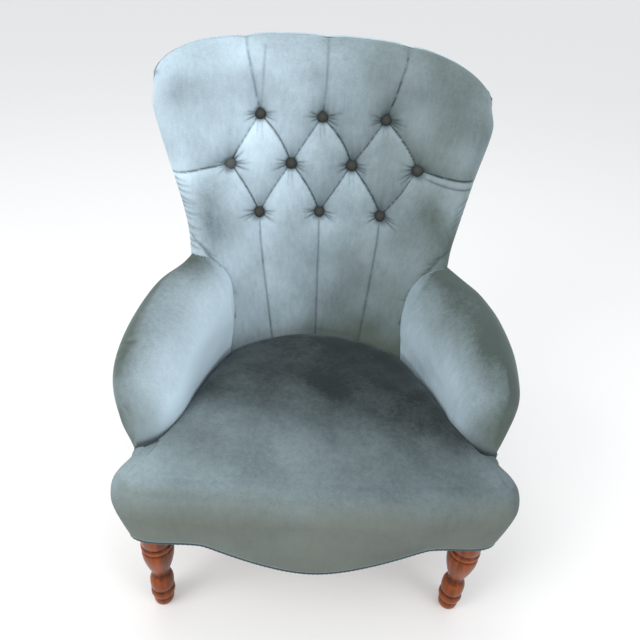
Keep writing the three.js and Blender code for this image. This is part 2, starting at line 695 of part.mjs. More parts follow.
function seatTopPoint(u, w) {
  const { outer, outward, inner, room, radius, inset } = seatFrame(u);
  const rollStart = outer.clone().addScaledVector(outward, -radius);
  const crownHere = SEAT_CROWN * clamp01(room / 320);
  if (w <= SEAT_TOP_SHARE) {
    const along = (w / SEAT_TOP_SHARE) ** 1.2;
    const p = inner.clone().lerp(rollStart, along);
    const dive = SEAT_TUCK_DEPTH * Math.exp(-inner.distanceTo(p) / 10);
    const sag = SEAT_SAG * Math.exp(-(p.x ** 2 + (p.y - 210) ** 2) / 120 ** 2);
    p.z = SEAT_EDGE_Z + crownHere * Math.sin(Math.PI * along ** 0.9) + 5 * along - dive - sag;
    return p;
  }
  const top = SEAT_EDGE_Z + 5;
  if (w <= SEAT_ROLL_SHARE) {
    const angle = ((w - SEAT_TOP_SHARE) / (SEAT_ROLL_SHARE - SEAT_TOP_SHARE)) * (Math.PI / 2);
    const p = rollStart.addScaledVector(outward, radius * Math.sin(angle));
    p.z = lerp(BORDER_WIDEST_Z, top, Math.cos(angle));
    return p;
  }
  const down = (w - SEAT_ROLL_SHARE) / (1 - SEAT_ROLL_SHARE);
  const p = outer.clone().addScaledVector(outward, -inset * down ** 1.5);
  p.z = lerp(BORDER_WIDEST_Z, BORDER_BOTTOM_Z - apronDrop(p.x), down);
  return p;
}

function seatUnderPoint(u, w) {
  const { outer, outward, inner, room, radius } = seatFrame(u);
  const thickness = Math.min(BORDER_PAD, 0.9 * room);
  const deck = RAIL_TOP_Z + HESSIAN_THICKNESS + 3 * TOUCH;
  inner.y -= RAKE * (SEAT_EDGE_Z - deck) * clamp01((inner.y - NOSE_BACK_Y) / NOSE_DEPTH);
  const rollStart = outer.clone().addScaledVector(outward, -radius);
  const behindBorder = outer.clone().addScaledVector(outward, -thickness);
  if (w <= SEAT_TOP_SHARE) {
    const p = inner.clone().lerp(rollStart, (w / SEAT_TOP_SHARE) ** 1.2);
    p.z = deck;
    return p;
  }
  if (w <= SEAT_ROLL_SHARE) {
    const share = (w - SEAT_TOP_SHARE) / (SEAT_ROLL_SHARE - SEAT_TOP_SHARE);
    const p = rollStart.lerp(behindBorder, share);
    p.z = deck;
    return p;
  }
  const down = (w - SEAT_ROLL_SHARE) / (1 - SEAT_ROLL_SHARE);
  const p = behindBorder;
  p.z = lerp(deck, BORDER_BOTTOM_Z - apronDrop(p.x), down);
  return p;
}

function seatPad() {
  return gridBody({
    columns: 36,
    rows: 15,
    face: seatTopPoint,
    back: seatUnderPoint,
    everyColumn: 1,
    everyRow: 1,
  });
}

// The arms, drawn for the right and mirrored for the left

const armOuter = new THREE.CatmullRomCurve3(
  ARM_STATIONS.map(({ outer, top }) => new THREE.Vector3(outer[0], outer[1], top)),
  false,
  "centripetal",
);
const armPeak = tableCurve(ARM_STATIONS.map(({ peak }, i) => [i / (ARM_STATIONS.length - 1), peak]));
// Share of the tub line's length that lies behind the arm
const armStartShare = (() => {
  const steps = 400;
  const corner = tubPoints[BACK_LINE.length - 1];
  const away = (i) => tubRight.getPointAt(i / steps).distanceTo(corner);
  let best = 0;
  for (let i = 1; i <= steps; i++) {
    if (away(i) < away(best)) best = i;
  }
  return best / steps;
})();

function armStation(t) {
  const share = lerp(armStartShare, 1, t);
  const inner = tubRight.getPointAt(share).addScaledVector(leftOf(tubRight, share), TUCK);
  const outer = armOuter.getPoint(t);
  const top = outer.z;
  outer.z = 0;
  const across = outer.clone().sub(inner);
  const half = across.length() / 2;
  const outerRise = 0.36 * (top - SEAT_EDGE_Z) + 3;
  return {
    centre: inner.clone().add(outer).multiplyScalar(0.5),
    across: across.normalize(),
    half,
    peak: half * armPeak(t),
    top,
    innerRise: 0.58 * (top - SEAT_EDGE_Z) + 2,
    outerRise,
    underRise: 0.8 * outerRise,
    middleZ: top - outerRise,
  };
}

const degrees = THREE.MathUtils.degToRad;
const ARM_CONTOUR_ANGLES = [180, 160, 140, 120, 100, 80, 60, 40, 15, -10, -32, -52];
const ARM_HOLLOW_ANGLES = [-40, 0, 60, 120, 180];

// Contour of an arm as [distance across from its middle, height].
function armContour({ half, peak, top, innerRise, outerRise, underRise, middleZ }) {
  const bulge = ARM_BULGE * clamp01(half / 50);
  const innerMiddle = top - innerRise;
  const contour = [
    [-half + 4, ARM_FOOT_Z],
    [-half, SEAT_EDGE_Z - 2],
    [-half - bulge * 0.7, lerp(SEAT_EDGE_Z, innerMiddle, 0.5)],
  ];
  for (const angle of ARM_CONTOUR_ANGLES) {
    const [c, s] = [Math.cos(degrees(angle)), Math.sin(degrees(angle))];
    if (c < 0) contour.push([peak + c * (half + peak + bulge), innerMiddle + s * innerRise]);
    else contour.push([peak + c * (half - peak), middleZ + s * (s > 0 ? outerRise : underRise)]);
  }
  for (const angle of ARM_HOLLOW_ANGLES) {
    const [c, s] = [Math.cos(degrees(angle)), Math.sin(degrees(angle))];
    contour.push([half * (0.15 + c * ARM_HOLLOW), middleZ + s * outerRise * ARM_HOLLOW]);
  }
  const wall = half * (0.15 - ARM_HOLLOW);
  contour.push([wall, SEAT_EDGE_Z - 2], [wall, ARM_FOOT_Z]);
  return contour;
}

const armPoint = (station, [a, z], side) => {
  const p = station.centre.clone().addScaledVector(station.across, a).add(RISE_OF(z));
  p.x *= side;
  return p;
};

// The arm is drawn on past the back to the outside face of the chair, then the stuffed back and
// the post are cut out of it.
function armPad(side) {
  const steps = 14;
  const contours = [];
  const start = armContour(armStation(0));
  contours.push(
    start.map((point) => {
      const p = armPoint(armStation(0), point, side);
      p.y = rearY(p.x, p.z) - CLOTH_THICKNESS - 3 * TOUCH;
      return p;
    }),
  );
  for (let k = 0; k <= steps; k++) {
    const station = armStation(k / steps);
    contours.push(armContour(station).map((point) => armPoint(station, point, side)));
  }
  const flat = start.map(([a, z]) => new THREE.Vector2(a, z));
  const whole = solidFrom(loftBody(contours, flat));
  const cuts = [backBody(TUCK), backPost(side, TOUCH), armRail(side, TOUCH)];
  return geometryOf(cuts.reduce((arm, cut) => arm.subtract(solidFrom(cut)), whole));
}

const sideX = tableCurve(SIDE_LINE);

// The outside arm hangs from under the roll to the rails: a skin along the stations of the arm,
// with one more line of points at the outside back.
function outsideArm(side) {
  const columns = 12;
  const hem = (t) => {
    const station = armStation(t);
    const contour = armContour(station);
    const [a, z] = contour[2 + ARM_CONTOUR_ANGLES.length];
    const top = armPoint(station, [a - CLOTH_THICKNESS, z - TUCK], 1);
    return top;
  };
  const at = (inset) => (u, v) => {
    const top = hem(ARM_HEM_END * clamp01((u * columns - 1) / (columns - 1)));
    const rear = rearY(top.x, RAIL_BOTTOM_Z);
    let y = u === 0 ? rear : Math.min(top.y, rear - PANEL_LAP);
    if (u === 1) y = NOSE_BACK_Y + 3 * TOUCH;
    const p = new THREE.Vector3(sideX(y), y, RAIL_BOTTOM_Z).lerp(top, v);
    if (u === 0) p.y = rearY(p.x, p.z) - CLOTH_THICKNESS - TUCK;
    p.x = side * (p.x - inset);
    return p;
  };
  return gridBody({ columns, rows: 4, face: at(CLOTH_THICKNESS), back: at(0) });
}

// Timber below the seat

const LEG_PROFILE = [
  [0, 0],
  [15.5, 0],
  [17.5, 5],
  [18, 17],
  [16.5, 23],
  [20.5, 27],
  [21.5, 34],
  [20, 41],
  [17.5, 44],
  [20, 48],
  [21, 58],
  [20.5, 70],
  [17, 79],
  [13.5, 84],
  [15, 92],
  [21, 112],
  [26, 134],
  [27.5, 150],
  [26.5, 160],
  [24.5, 163],
  [27.5, 167],
  [27.5, 171],
  [24.5, 175],
  [26.5, 179],
  [27, 200],
];
const LEG_SIDES = 20;

function frontLeg(side) {
  const profile = LEG_PROFILE.map(([r, z]) => new THREE.Vector2(r, z));
  const shoulder = profile[profile.length - 1].x;
  profile.push(new THREE.Vector2(shoulder, RAIL_BOTTOM_Z - 2), new THREE.Vector2(0, RAIL_BOTTOM_Z - 2));
  const turned = new THREE.LatheGeometry(profile, LEG_SIDES);
  turned.rotateX(Math.PI / 2);
  const blockHeight = RAIL_TOP_Z - RAIL_BOTTOM_Z + 3;
  const block = new THREE.BoxGeometry(LEG_BLOCK, LEG_BLOCK, blockHeight);
  block.translate(0, 0, RAIL_TOP_Z - blockHeight / 2);
  const leg = geometryOf(solidFrom(turned).add(solidFrom(block)));
  leg.translate(side * LEG_X, LEG_Y, 0);
  return leg;
}

const noseY = (x) => {
  const share = clamp01(Math.abs(x) / NOSE_HALF_WIDTH);
  return NOSE_BACK_Y - NOSE_DEPTH * (1 - share ** NOSE_SQUARENESS) ** (1 / NOSE_SQUARENESS);
};

function frontRail() {
  const half = LEG_X - LEG_BLOCK / 2 - TOUCH;
  const at = (depth) => (u, v) => {
    const x = lerp(-half, half, u);
    const z = lerp(RAIL_BOTTOM_Z - apronDrop(x), RAIL_TOP_Z, v);
    return new THREE.Vector3(x, noseY(x) + BORDER_PAD + TUCK + depth, z);
  };
  return gridBody({ columns: 24, rows: 1, face: at(0), back: at(RAIL_THICKNESS) });
}

function sideRail(side) {
  const front = LEG_Y + LEG_BLOCK / 2 + TOUCH;
  const at = (inset) => (u, v) => {
    const z = lerp(RAIL_BOTTOM_Z, RAIL_TOP_Z, v);
    const reach = postFront(POST_X + POST_WIDTH / 2, z) - 2 * TOUCH;
    const y = lerp(front, reach, u);
    return new THREE.Vector3(side * (sideX(y) - RAIL_INSET - inset), y, z);
  };
  return gridBody({ columns: 10, rows: 1, face: at(RAIL_THICKNESS), back: at(0) });
}

function rearRail() {
  return curvedBoard({
    half: POST_X - POST_WIDTH / 2 - TOUCH,
    low: () => RAIL_BOTTOM_Z,
    high: () => RAIL_TOP_Z,
    columns: 10,
  });
}

function stayRail() {
  return curvedBoard({
    half: POST_X - POST_WIDTH / 2 - TOUCH,
    low: () => STAY_RAIL_Z,
    high: () => STAY_RAIL_Z + STAY_RAIL_HEIGHT,
    columns: 10,
  });
}

function crestRail() {
  return curvedBoard({ half: CREST_RAIL_HALF, low: crestRailLow, high: crestRailHigh, columns: 16 });
}

// The timber inside an arm, from the back post to the stump.
function armRail(side, grow = 0) {
  const steps = 8;
  const contours = [];
  const section = [[-1, -1], [1, -1], [1, 1], [-1, 1]];
  for (let k = 0; k <= steps; k++) {
    const station = armStation(lerp(ARM_RAIL_START, ARM_RAIL_END, k / steps));
    contours.push(
      section.map(([a, h]) => {
        const across = 0.15 * station.half + a * (ARM_RAIL_WIDTH / 2 + grow);
        const p = armPoint(station, [across, station.middleZ + h * (ARM_RAIL_HEIGHT / 2 + grow)], 1);
        if (k === 0) {
          p.x = POST_X + a * (POST_WIDTH / 2 + grow);
          p.y = postFront(p.x, p.z) - TOUCH;
        }
        p.x *= side;
        return p;
      }),
    );
  }
  return loftBody(contours, section.map(([a, h]) => new THREE.Vector2(a, h)));
}

function armStump(side) {
  const station = armStation(ARM_RAIL_END);
  const top = station.middleZ - ARM_RAIL_HEIGHT / 2 - TOUCH;
  const bottom = RAIL_TOP_Z + TOUCH;
  const y = station.centre.y + STUMP_WIDTH / 2 + 2;
  const x = sideX(y) - RAIL_INSET - RAIL_THICKNESS / 2;
  const stump = new THREE.BoxGeometry(STUMP_WIDTH, STUMP_WIDTH, top - bottom);
  stump.translate(side * x, y, (top + bottom) / 2);
  return stump;
}

// A three-cornered block glued into the angle of two rails.
function cornerBlock(x, y, side, forward) {
  const corner = new THREE.Shape([
    new THREE.Vector2(0, 0),
    new THREE.Vector2(-side * CORNER_BLOCK, 0),
    new THREE.Vector2(0, forward * CORNER_BLOCK),
  ]);
  const block = new THREE.ExtrudeGeometry(corner, { depth: CORNER_BLOCK_HEIGHT, bevelEnabled: false });
  block.translate(side * x, y, CORNER_BLOCK_Z);
  return block;
}

// Springing

class CoilCurve extends THREE.Curve {
  constructor(x, y, low, high) {
    super();
    Object.assign(this, { x, y, low, high });
  }
  getPoint(t) {
    const angle = t * SPRING_TURNS * 2 * Math.PI;
    const waist = 0.72 + 0.28 * (2 * t - 1) ** 2;
    const radius = SPRING_RADIUS * waist;
    const z = lerp(this.low, this.high, t);
    return new THREE.Vector3(this.x + radius * Math.cos(angle), this.y + radius * Math.sin(angle), z);
  }
}

function spring(x, y) {
  const low = CROSS_WEB_Z + WEB_THICKNESS + SPRING_WIRE + 2 * TOUCH;
  const high = RAIL_TOP_Z - SPRING_WIRE;
  return tubeBody(new CoilCurve(x, y, low, high), SPRING_WIRE, SPRING_TURNS * SPRING_STEPS, 4);
}

const LONG_WEB_Z = RAIL_BOTTOM_Z + DUST_COVER_THICKNESS + 3 * TOUCH;
const CROSS_WEB_Z = LONG_WEB_Z + WEB_THICKNESS + TOUCH;
const railRearY = (x) => noseY(x) + BORDER_PAD + TUCK + RAIL_THICKNESS;

function longWeb(x) {
  const outerEdge = Math.abs(x) + WEB_WIDTH / 2;
  const front = railRearY(outerEdge) + TOUCH;
  const rear = rearY(outerEdge, RAIL_BOTTOM_Z) - POST_DEPTH - TOUCH;
  const strip = new THREE.BoxGeometry(WEB_WIDTH, rear - front, WEB_THICKNESS);
  strip.translate(x, (front + rear) / 2, LONG_WEB_Z + WEB_THICKNESS / 2);
  return strip;
}

function crossWeb(y) {
  const narrow = Math.min(sideX(y - WEB_WIDTH / 2), sideX(y + WEB_WIDTH / 2));
  const half = narrow - RAIL_INSET - RAIL_THICKNESS - TUCK;
  const strip = new THREE.BoxGeometry(2 * half, WEB_WIDTH, WEB_THICKNESS);
  strip.translate(0, y, CROSS_WEB_Z + WEB_THICKNESS / 2);
  return strip;
}

// A flat sheet that narrows from the front of the seat frame to the rear rail.
function deckSheet({ bottom, thickness, front, frontHalf, rearHalf, rearInset }) {
  const at = (z) => (u, v) => {
    const x = lerp(-1, 1, u) * lerp(frontHalf, rearHalf, v);
    return new THREE.Vector3(x, lerp(front, rearY(x, RAIL_BOTTOM_Z) - rearInset, v), z);
  };
  return gridBody({ columns: 8, rows: 6, face: at(bottom + thickness), back: at(bottom) });
}

// Piping

function lowerEdgePoint(u) {
  const { outer, outward, inset } = seatFrame(u);
  const p = outer.addScaledVector(outward, -inset - WELT_RADIUS);
  p.z = BORDER_BOTTOM_Z - apronDrop(p.x) - WELT_RADIUS - TUCK / 2;
  return p;
}

function frontWelt() {
  const count = 40;
  const points = Array.from({ length: count + 1 }, (_, k) => lowerEdgePoint(k / count));
  return tubeBody(new THREE.CatmullRomCurve3(points, false, "centripetal"), WELT_RADIUS, 56, 6);
}

// Assembly

addPiece("seat_pad", seatPad(), SEAT_VELVET);
addPiece("inside_back", insideBack(), VELVET);
addPiece("outside_back", outsideBack(), VELVET);
addPiece("back_hessian", backHessian(), JUTE);
addPiece("front_welt", frontWelt(), VELVET);
addPiece("front_rail", frontRail(), FRAME_WOOD);
addPiece("rear_rail", rearRail(), FRAME_WOOD);
addPiece("back_stay_rail", stayRail(), FRAME_WOOD);
addPiece("crest_rail", crestRail(), FRAME_WOOD);

const frontBlockX = LEG_X - LEG_BLOCK / 2 - 2 * TOUCH;
const frontBlockY = railRearY(frontBlockX) + TOUCH;
const rearBlockX = POST_X - POST_WIDTH / 2 - 2 * TOUCH;
const rearBlockY = rearY(rearBlockX, CORNER_BLOCK_Z) - POST_DEPTH - TOUCH;
for (const [name, side] of [["left", -1], ["right", 1]]) {
  addPiece(`inside_arm_${name}`, armPad(side), VELVET);
  addPiece(`outside_arm_${name}`, outsideArm(side), VELVET);
  addPiece(`front_leg_${name}`, frontLeg(side), TURNED_WOOD);
  addPiece(`back_post_${name}`, backPost(side), TURNED_WOOD);
  addPiece(`side_rail_${name}`, sideRail(side), FRAME_WOOD);
  addPiece(`arm_rail_${name}`, armRail(side), FRAME_WOOD);
  addPiece(`arm_stump_${name}`, armStump(side), FRAME_WOOD);
  addPiece(`front_block_${name}`, cornerBlock(frontBlockX, frontBlockY, side, 1), FRAME_WOOD);
  addPiece(`rear_block_${name}`, cornerBlock(rearBlockX, rearBlockY, side, -1), FRAME_WOOD);
}

BUTTONS.forEach((button, i) => {
  addPiece(`button_${button.row}_${i + 1}`, buttonBody(button), BUTTON_VELVET);
});

[-1, 0, 1].forEach((place, i) => {
  addPiece(`web_long_${i + 1}`, longWeb(place * WEB_SPACING), JUTE);
  addPiece(`web_cross_${i + 1}`, crossWeb(DECK_MIDDLE_Y + place * WEB_SPACING), JUTE);
});
const SPRING_PLACES = [[-1, -1], [1, -1], [0, 0], [-1, 1], [1, 1]];
SPRING_PLACES.forEach(([across, along], i) => {
  const coil = spring(across * WEB_SPACING, DECK_MIDDLE_Y + along * WEB_SPACING);
  addPiece(`spring_${i + 1}`, coil, SPRING_STEEL);
});

addPiece(
  "seat_hessian",
  deckSheet({
    bottom: RAIL_TOP_Z + TOUCH,
    thickness: HESSIAN_THICKNESS,
    front: railRearY(0),
    frontHalf: LEG_X - 4,
    rearHalf: POST_X - POST_WIDTH,
    rearInset: POST_DEPTH / 2,
  }),
  JUTE,
);
addPiece(
  "dust_cover",
  deckSheet({
    bottom: RAIL_BOTTOM_Z + TOUCH,
    thickness: DUST_COVER_THICKNESS,
    front: frontBlockY + TOUCH,
    frontHalf: LEG_X - LEG_BLOCK / 2 - TUCK,
    rearHalf: POST_X - POST_WIDTH / 2 - TUCK,
    rearInset: POST_DEPTH + TUCK,
  }),
  DUST_CLOTH,
);

const bounds = new THREE.Box3().setFromObject(chair);
const middle = bounds.getCenter(new THREE.Vector3());
chair.position.set(-middle.x, -middle.y, -bounds.min.z);

export default chair;
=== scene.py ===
# %% [markdown]
# # A button-back armchair in worn velvet
# The chair is a low tub chair: a fan-shaped, deep-buttoned back, two fat rolled arms and a
# crowned seat, over turned front legs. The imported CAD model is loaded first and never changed.
# Each soft solid in it is then replaced by a fine skin that follows the same lines, so that the
# folds, gathers and sags of the cloth are real shape.

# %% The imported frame
import json
import math

import bmesh
import bpy
import numpy as np
from mathutils import Matrix, Vector

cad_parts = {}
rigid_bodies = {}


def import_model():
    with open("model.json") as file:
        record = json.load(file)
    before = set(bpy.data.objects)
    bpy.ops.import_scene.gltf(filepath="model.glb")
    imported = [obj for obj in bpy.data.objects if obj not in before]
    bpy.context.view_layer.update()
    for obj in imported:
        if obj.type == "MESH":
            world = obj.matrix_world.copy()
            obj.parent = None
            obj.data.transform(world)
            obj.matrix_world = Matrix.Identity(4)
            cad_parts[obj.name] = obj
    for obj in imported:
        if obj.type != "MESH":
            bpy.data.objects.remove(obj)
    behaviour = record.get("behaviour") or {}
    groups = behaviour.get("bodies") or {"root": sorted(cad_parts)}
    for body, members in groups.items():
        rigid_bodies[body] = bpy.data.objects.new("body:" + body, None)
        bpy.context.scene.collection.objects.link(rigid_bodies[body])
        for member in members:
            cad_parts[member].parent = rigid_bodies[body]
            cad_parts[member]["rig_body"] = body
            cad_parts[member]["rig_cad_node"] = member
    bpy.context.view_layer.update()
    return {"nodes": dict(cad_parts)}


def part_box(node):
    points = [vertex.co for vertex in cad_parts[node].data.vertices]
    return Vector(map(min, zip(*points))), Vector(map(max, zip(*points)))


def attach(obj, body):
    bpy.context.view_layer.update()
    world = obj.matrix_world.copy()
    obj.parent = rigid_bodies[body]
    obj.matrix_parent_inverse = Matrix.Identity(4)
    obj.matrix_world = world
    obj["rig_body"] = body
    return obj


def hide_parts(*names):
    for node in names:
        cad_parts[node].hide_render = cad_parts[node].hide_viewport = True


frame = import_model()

MM = 0.001

# %% [markdown]
# The numbers below are those of the chair's drawing, in millimetres, where y = 0 is near the
# front legs. Shapes are worked out in these numbers and turned to metres in the frame only when
# a mesh is made. The front leg, 6 mm behind y = 0, says how far the frame is from the drawing.

# %% From the drawing to the frame
LEG_X, LEG_Y = 270, 6
leg_low, leg_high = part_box("front_leg_left")
SHIFT_Y = (leg_low.y + leg_high.y) / 2 - LEG_Y * MM


def to_frame(points):
    return np.asarray(points, float) * MM + np.array([0, SHIFT_Y, 0])


def from_frame(points):
    return (np.asarray(points, float) - np.array([0, SHIFT_Y, 0])) / MM


print("drawing is moved by", round(SHIFT_Y, 4), "m")

# %% [markdown]
# The camera stands above and in front of the chair and looks down at it, turned a few degrees,
# as someone would hold it to take in the whole chair. Its directions are worked out from three
# angles, and the lens from a focal length in pixels.

# %% Camera
IMAGE_PIXELS, FOCAL_PIXELS, SENSOR_MM = 640, 584, 36
CAMERA_PLACE = Vector((-0.065, -0.940, 1.067))
PITCH, YAW, ROLL = (math.radians(a) for a in (33.9, 4.0, 4.78))


def camera_turn(pitch, yaw, roll):
    along = math.cos(pitch)
    forward = Vector((math.sin(yaw) * along, math.cos(yaw) * along, -math.sin(pitch)))
    level = Vector((math.cos(yaw), -math.sin(yaw), 0))
    above = level.cross(forward)
    right = math.cos(roll) * level + math.sin(roll) * above
    up = -math.sin(roll) * level + math.cos(roll) * above
    return Matrix((right, up, -forward)).transposed().to_4x4()


camera_data = bpy.data.cameras.new("camera")
camera_data.sensor_width = SENSOR_MM
camera_data.lens = SENSOR_MM * FOCAL_PIXELS / IMAGE_PIXELS
camera = bpy.data.objects.new("camera", camera_data)
camera.matrix_world = Matrix.Translation(CAMERA_PLACE) @ camera_turn(PITCH, YAW, ROLL)
bpy.context.scene.collection.objects.link(camera)
bpy.context.scene.camera = camera
bpy.context.scene.view_settings.view_transform = "Standard"
print("lens", round(camera_data.lens, 2), "mm")

# %% [markdown]
# A soft daylight comes from the left, with a weak lamp on the other side and a pale world all
# round, so the velvet's folds read by gentle shade and a colour renders about as it is written.
# The camera, and mirrors, see the world as plain white.

# %% Lamps


def soft_light(name, place, aim, size, power):
    data = bpy.data.lights.new(name, "AREA")
    data.shape, data.size, data.energy = "DISK", size, power
    lamp = bpy.data.objects.new(name, data)
    lamp.location = place
    lamp.rotation_euler = (Vector(aim) - Vector(place)).to_track_quat("-Z", "Y").to_euler()
    bpy.context.scene.collection.objects.link(lamp)


# Each lamp's place, the point it aims at, its width in metres and its power in watts.
LAMPS = {
    "key": ((-2.0, -1.3, 2.1), (0, 0, 0.5), 1.6, 35),
    "fill": ((2.2, -1.8, 1.6), (0, 0, 0.4), 1.8, 23),
    "top": ((-0.3, 0.4, 2.8), (0, 0, 0.4), 1.4, 14),
}
for name, lamp in LAMPS.items():
    soft_light(name, *lamp)
print("lamps:", ", ".join(LAMPS))

# %% World


def camera_sees(tree):
    """1 for rays from the camera and for reflections, which see the background, else 0."""
    path = tree.nodes.new("ShaderNodeLightPath")
    seen = tree.nodes.new("ShaderNodeMath")
    seen.operation = "MAXIMUM"
    tree.links.new(path.outputs["Is Camera Ray"], seen.inputs[0])
    tree.links.new(path.outputs["Is Glossy Ray"], seen.inputs[1])
    return seen.outputs[0]


WORLD_LIGHT, WORLD_TINT = 0.8, (0.93, 0.96, 1.0, 1)
world = bpy.data.worlds.new("studio")
bpy.context.scene.world = world
world.use_nodes = True
surround = world.node_tree.nodes["Background"]
surround.inputs["Color"].default_value = WORLD_TINT
strength = world.node_tree.nodes.new("ShaderNodeMapRange")
strength.inputs["To Min"].default_value = WORLD_LIGHT
strength.inputs["To Max"].default_value = 1.0
world.node_tree.links.new(camera_sees(world.node_tree), strength.inputs["Value"])
world.node_tree.links.new(strength.outputs[0], surround.inputs["Strength"])
print("the world lights the chair at", WORLD_LIGHT)

# %% [markdown]
# The floor is one pale plane, so large that its edge is out of sight. It glows a little for the
# camera alone, so that it looks near white and still keeps the chair's shadow.

# %% Floor
FLOOR_SIZE, FLOOR_COLOUR, FLOOR_GLOW = 400, (0.8, 0.79, 0.775, 1), 0.2
bpy.ops.mesh.primitive_plane_add(size=FLOOR_SIZE, location=(0, 0, 0))
floor = bpy.context.object
floor.name = "floor"
floor_paint = bpy.data.materials.new("floor_paint")
floor_paint.use_nodes = True
floor_tree = floor_paint.node_tree
floor_shader = floor_tree.nodes["Principled BSDF"]
floor_shader.inputs["Base Color"].default_value = FLOOR_COLOUR
floor_shader.inputs["Roughness"].default_value = 0.9
floor_shader.inputs["Emission Color"].default_value = FLOOR_COLOUR
pale_floor = floor_tree.nodes.new("ShaderNodeMath")
pale_floor.operation = "MULTIPLY"
pale_floor.inputs[1].default_value = FLOOR_GLOW
floor_tree.links.new(camera_sees(floor_tree), pale_floor.inputs[0])
floor_tree.links.new(pale_floor.outputs[0], floor_shader.inputs["Emission Strength"])
floor.data.materials.append(floor_paint)
print("floor is", FLOOR_SIZE, "m wide")

# %% [markdown]
# Materials are node trees. A few short helpers keep their cells readable: they turn a screen
# colour into a shader's numbers, add a node with its values, link or set a socket, do arithmetic
# on sockets and mix two colours.

# %% Helpers for nodes
SRGB_TOE = 10  # screen values up to this one are on the straight foot of the sRGB curve


def srgb(red, green, blue):
    """A colour given as 0-255 screen values, as linear numbers for a shader."""
    linear = [
        ((c / 255 + 0.055) / 1.055) ** 2.4 if c > SRGB_TOE else c / 255 / 12.92
        for c in (red, green, blue)
    ]
    return (*linear, 1)


def feed(tree, value, socket):
    """Links a socket to the value if that is a socket too, and otherwise sets it."""
    if isinstance(value, bpy.types.NodeSocket):
        tree.links.new(value, socket)
    else:
        socket.default_value = value


def feed_all(tree, node, values):
    for key, value in values.items():
        feed(tree, value, node.inputs[key])


def add_node(tree, kind, inputs=None, **settings):
    made = tree.nodes.new("ShaderNode" + kind)
    for key, value in settings.items():
        setattr(made, key, value)
    feed_all(tree, made, inputs or {})
    return made


print("middle grey reads", round(srgb(128, 128, 128)[0], 3), "in a shader")

# %% Helpers for arithmetic and colour


def calc(tree, operation, first, second=0.0, clamp=False):
    settings = {"operation": operation, "use_clamp": clamp}
    return add_node(tree, "Math", {0: first, 1: second}, **settings).outputs[0]


def between(tree, value, low, high):
    """0 where a value is at its low mark, 1 at its high one."""
    return add_node(tree, "MapRange", {"Value": value, "From Min": low, "From Max": high}).outputs[0]


MIX_FACTOR, MIX_A, MIX_B, MIX_RESULT = 0, 6, 7, 2


def mix_colours(tree, factor, first, second):
    inputs = {MIX_FACTOR: factor, MIX_A: first, MIX_B: second}
    return add_node(tree, "Mix", inputs, data_type="RGBA").outputs[MIX_RESULT]


def noise(tree, vector, scale, detail=3.0, roughness=0.55):
    inputs = {"Vector": vector, "Scale": scale, "Detail": detail, "Roughness": roughness}
    return add_node(tree, "TexNoise", inputs).outputs["Fac"]


print("a colour mix gives its result on socket", MIX_RESULT)

# %% [markdown]
# An effect that several materials share, such as the pile of velvet, is a node group with named
# sockets, and each material places it with its own values. What changes over a piece but can't
# be drawn by noise, such as where it is worn, is carried on the piece's points as an attribute.

# %% Helpers for groups and materials


def new_group(name, inputs, outputs):
    """A shader node group with named sockets, and its input and output nodes."""
    tree = bpy.data.node_groups.new(name, "ShaderNodeTree")
    for socket, kind in inputs:
        tree.interface.new_socket(socket, in_out="INPUT", socket_type="NodeSocket" + kind)
    for socket, kind in outputs:
        tree.interface.new_socket(socket, in_out="OUTPUT", socket_type="NodeSocket" + kind)
    return tree, tree.nodes.new("NodeGroupInput").outputs, tree.nodes.new("NodeGroupOutput").inputs


def use_group(tree, group, inputs):
    made = tree.nodes.new("ShaderNodeGroup")
    made.node_tree = group
    feed_all(tree, made, inputs)
    return made.outputs


def new_material(name):
    """A new material, as itself, its node tree, its shader and its Object coordinates."""
    material = bpy.data.materials.new(name)
    material.use_nodes = True
    tree = material.node_tree
    place = add_node(tree, "TexCoord").outputs["Object"]
    return material, tree, tree.nodes["Principled BSDF"], place


def carried(tree, *names):
    """Sockets that read the values which a piece carries on its points."""
    return [add_node(tree, "Attribute", attribute_name=name).outputs["Fac"] for name in names]


print("helpers for groups and materials are ready")

# %% [markdown]
# Velvet is a short pile that stands off a woven ground. Where the pile leans towards the eye it
# looks dark, and where it leans away it looks pale, so brushed and crushed patches differ in
# tone though the dye is the same. A group called pile makes that tone from a value that each
# piece carries on its points, which holds the lie of the nap and painted light and shade, noise
# at four sizes from broad patches to the grain of the pile, and bruises where the pile is crushed.
# Soil, which on the back also holds a painted shade tint, and dark crease lines of painted shade
# are laid over it. Where that value is very low, in painted shade, the noise is quieter too.

# %% Noise for the pile
PILE_INPUTS = [
    ("Vector", "Vector"), ("Nap And Painted Light", "Float"), ("Bruise", "Float"), ("Crease Shade", "Float"), ("Soil And Shade", "Float"),
    ("Pale", "Color"), ("Deep", "Color"), ("Crease Colour", "Color"), ("Soil Colour", "Color"),
]
PILE_OUTPUTS = [("Colour", "Color"), ("Height", "Float")]
PATCH_SCALE, SMUDGE_SCALE, STREAK_SCALE, GRAIN_SCALE = 9.0, 38.0, (120.0, 120.0, 26.0), 620.0
pile_group, given, wanted = new_group("pile", PILE_INPUTS, PILE_OUTPUTS)
patches = noise(pile_group, given["Vector"], PATCH_SCALE, 4.0, 0.6)
smudges = noise(pile_group, given["Vector"], SMUDGE_SCALE, 4.0, 0.6)
squeeze = add_node(pile_group, "Mapping", {"Vector": given["Vector"], "Scale": STREAK_SCALE})
streaks = noise(pile_group, squeeze.outputs[0], 1.0, 2.0, 0.5)
grain = noise(pile_group, given["Vector"], GRAIN_SCALE, 2.0, 0.6)
print("pile takes", len(PILE_INPUTS), "inputs")

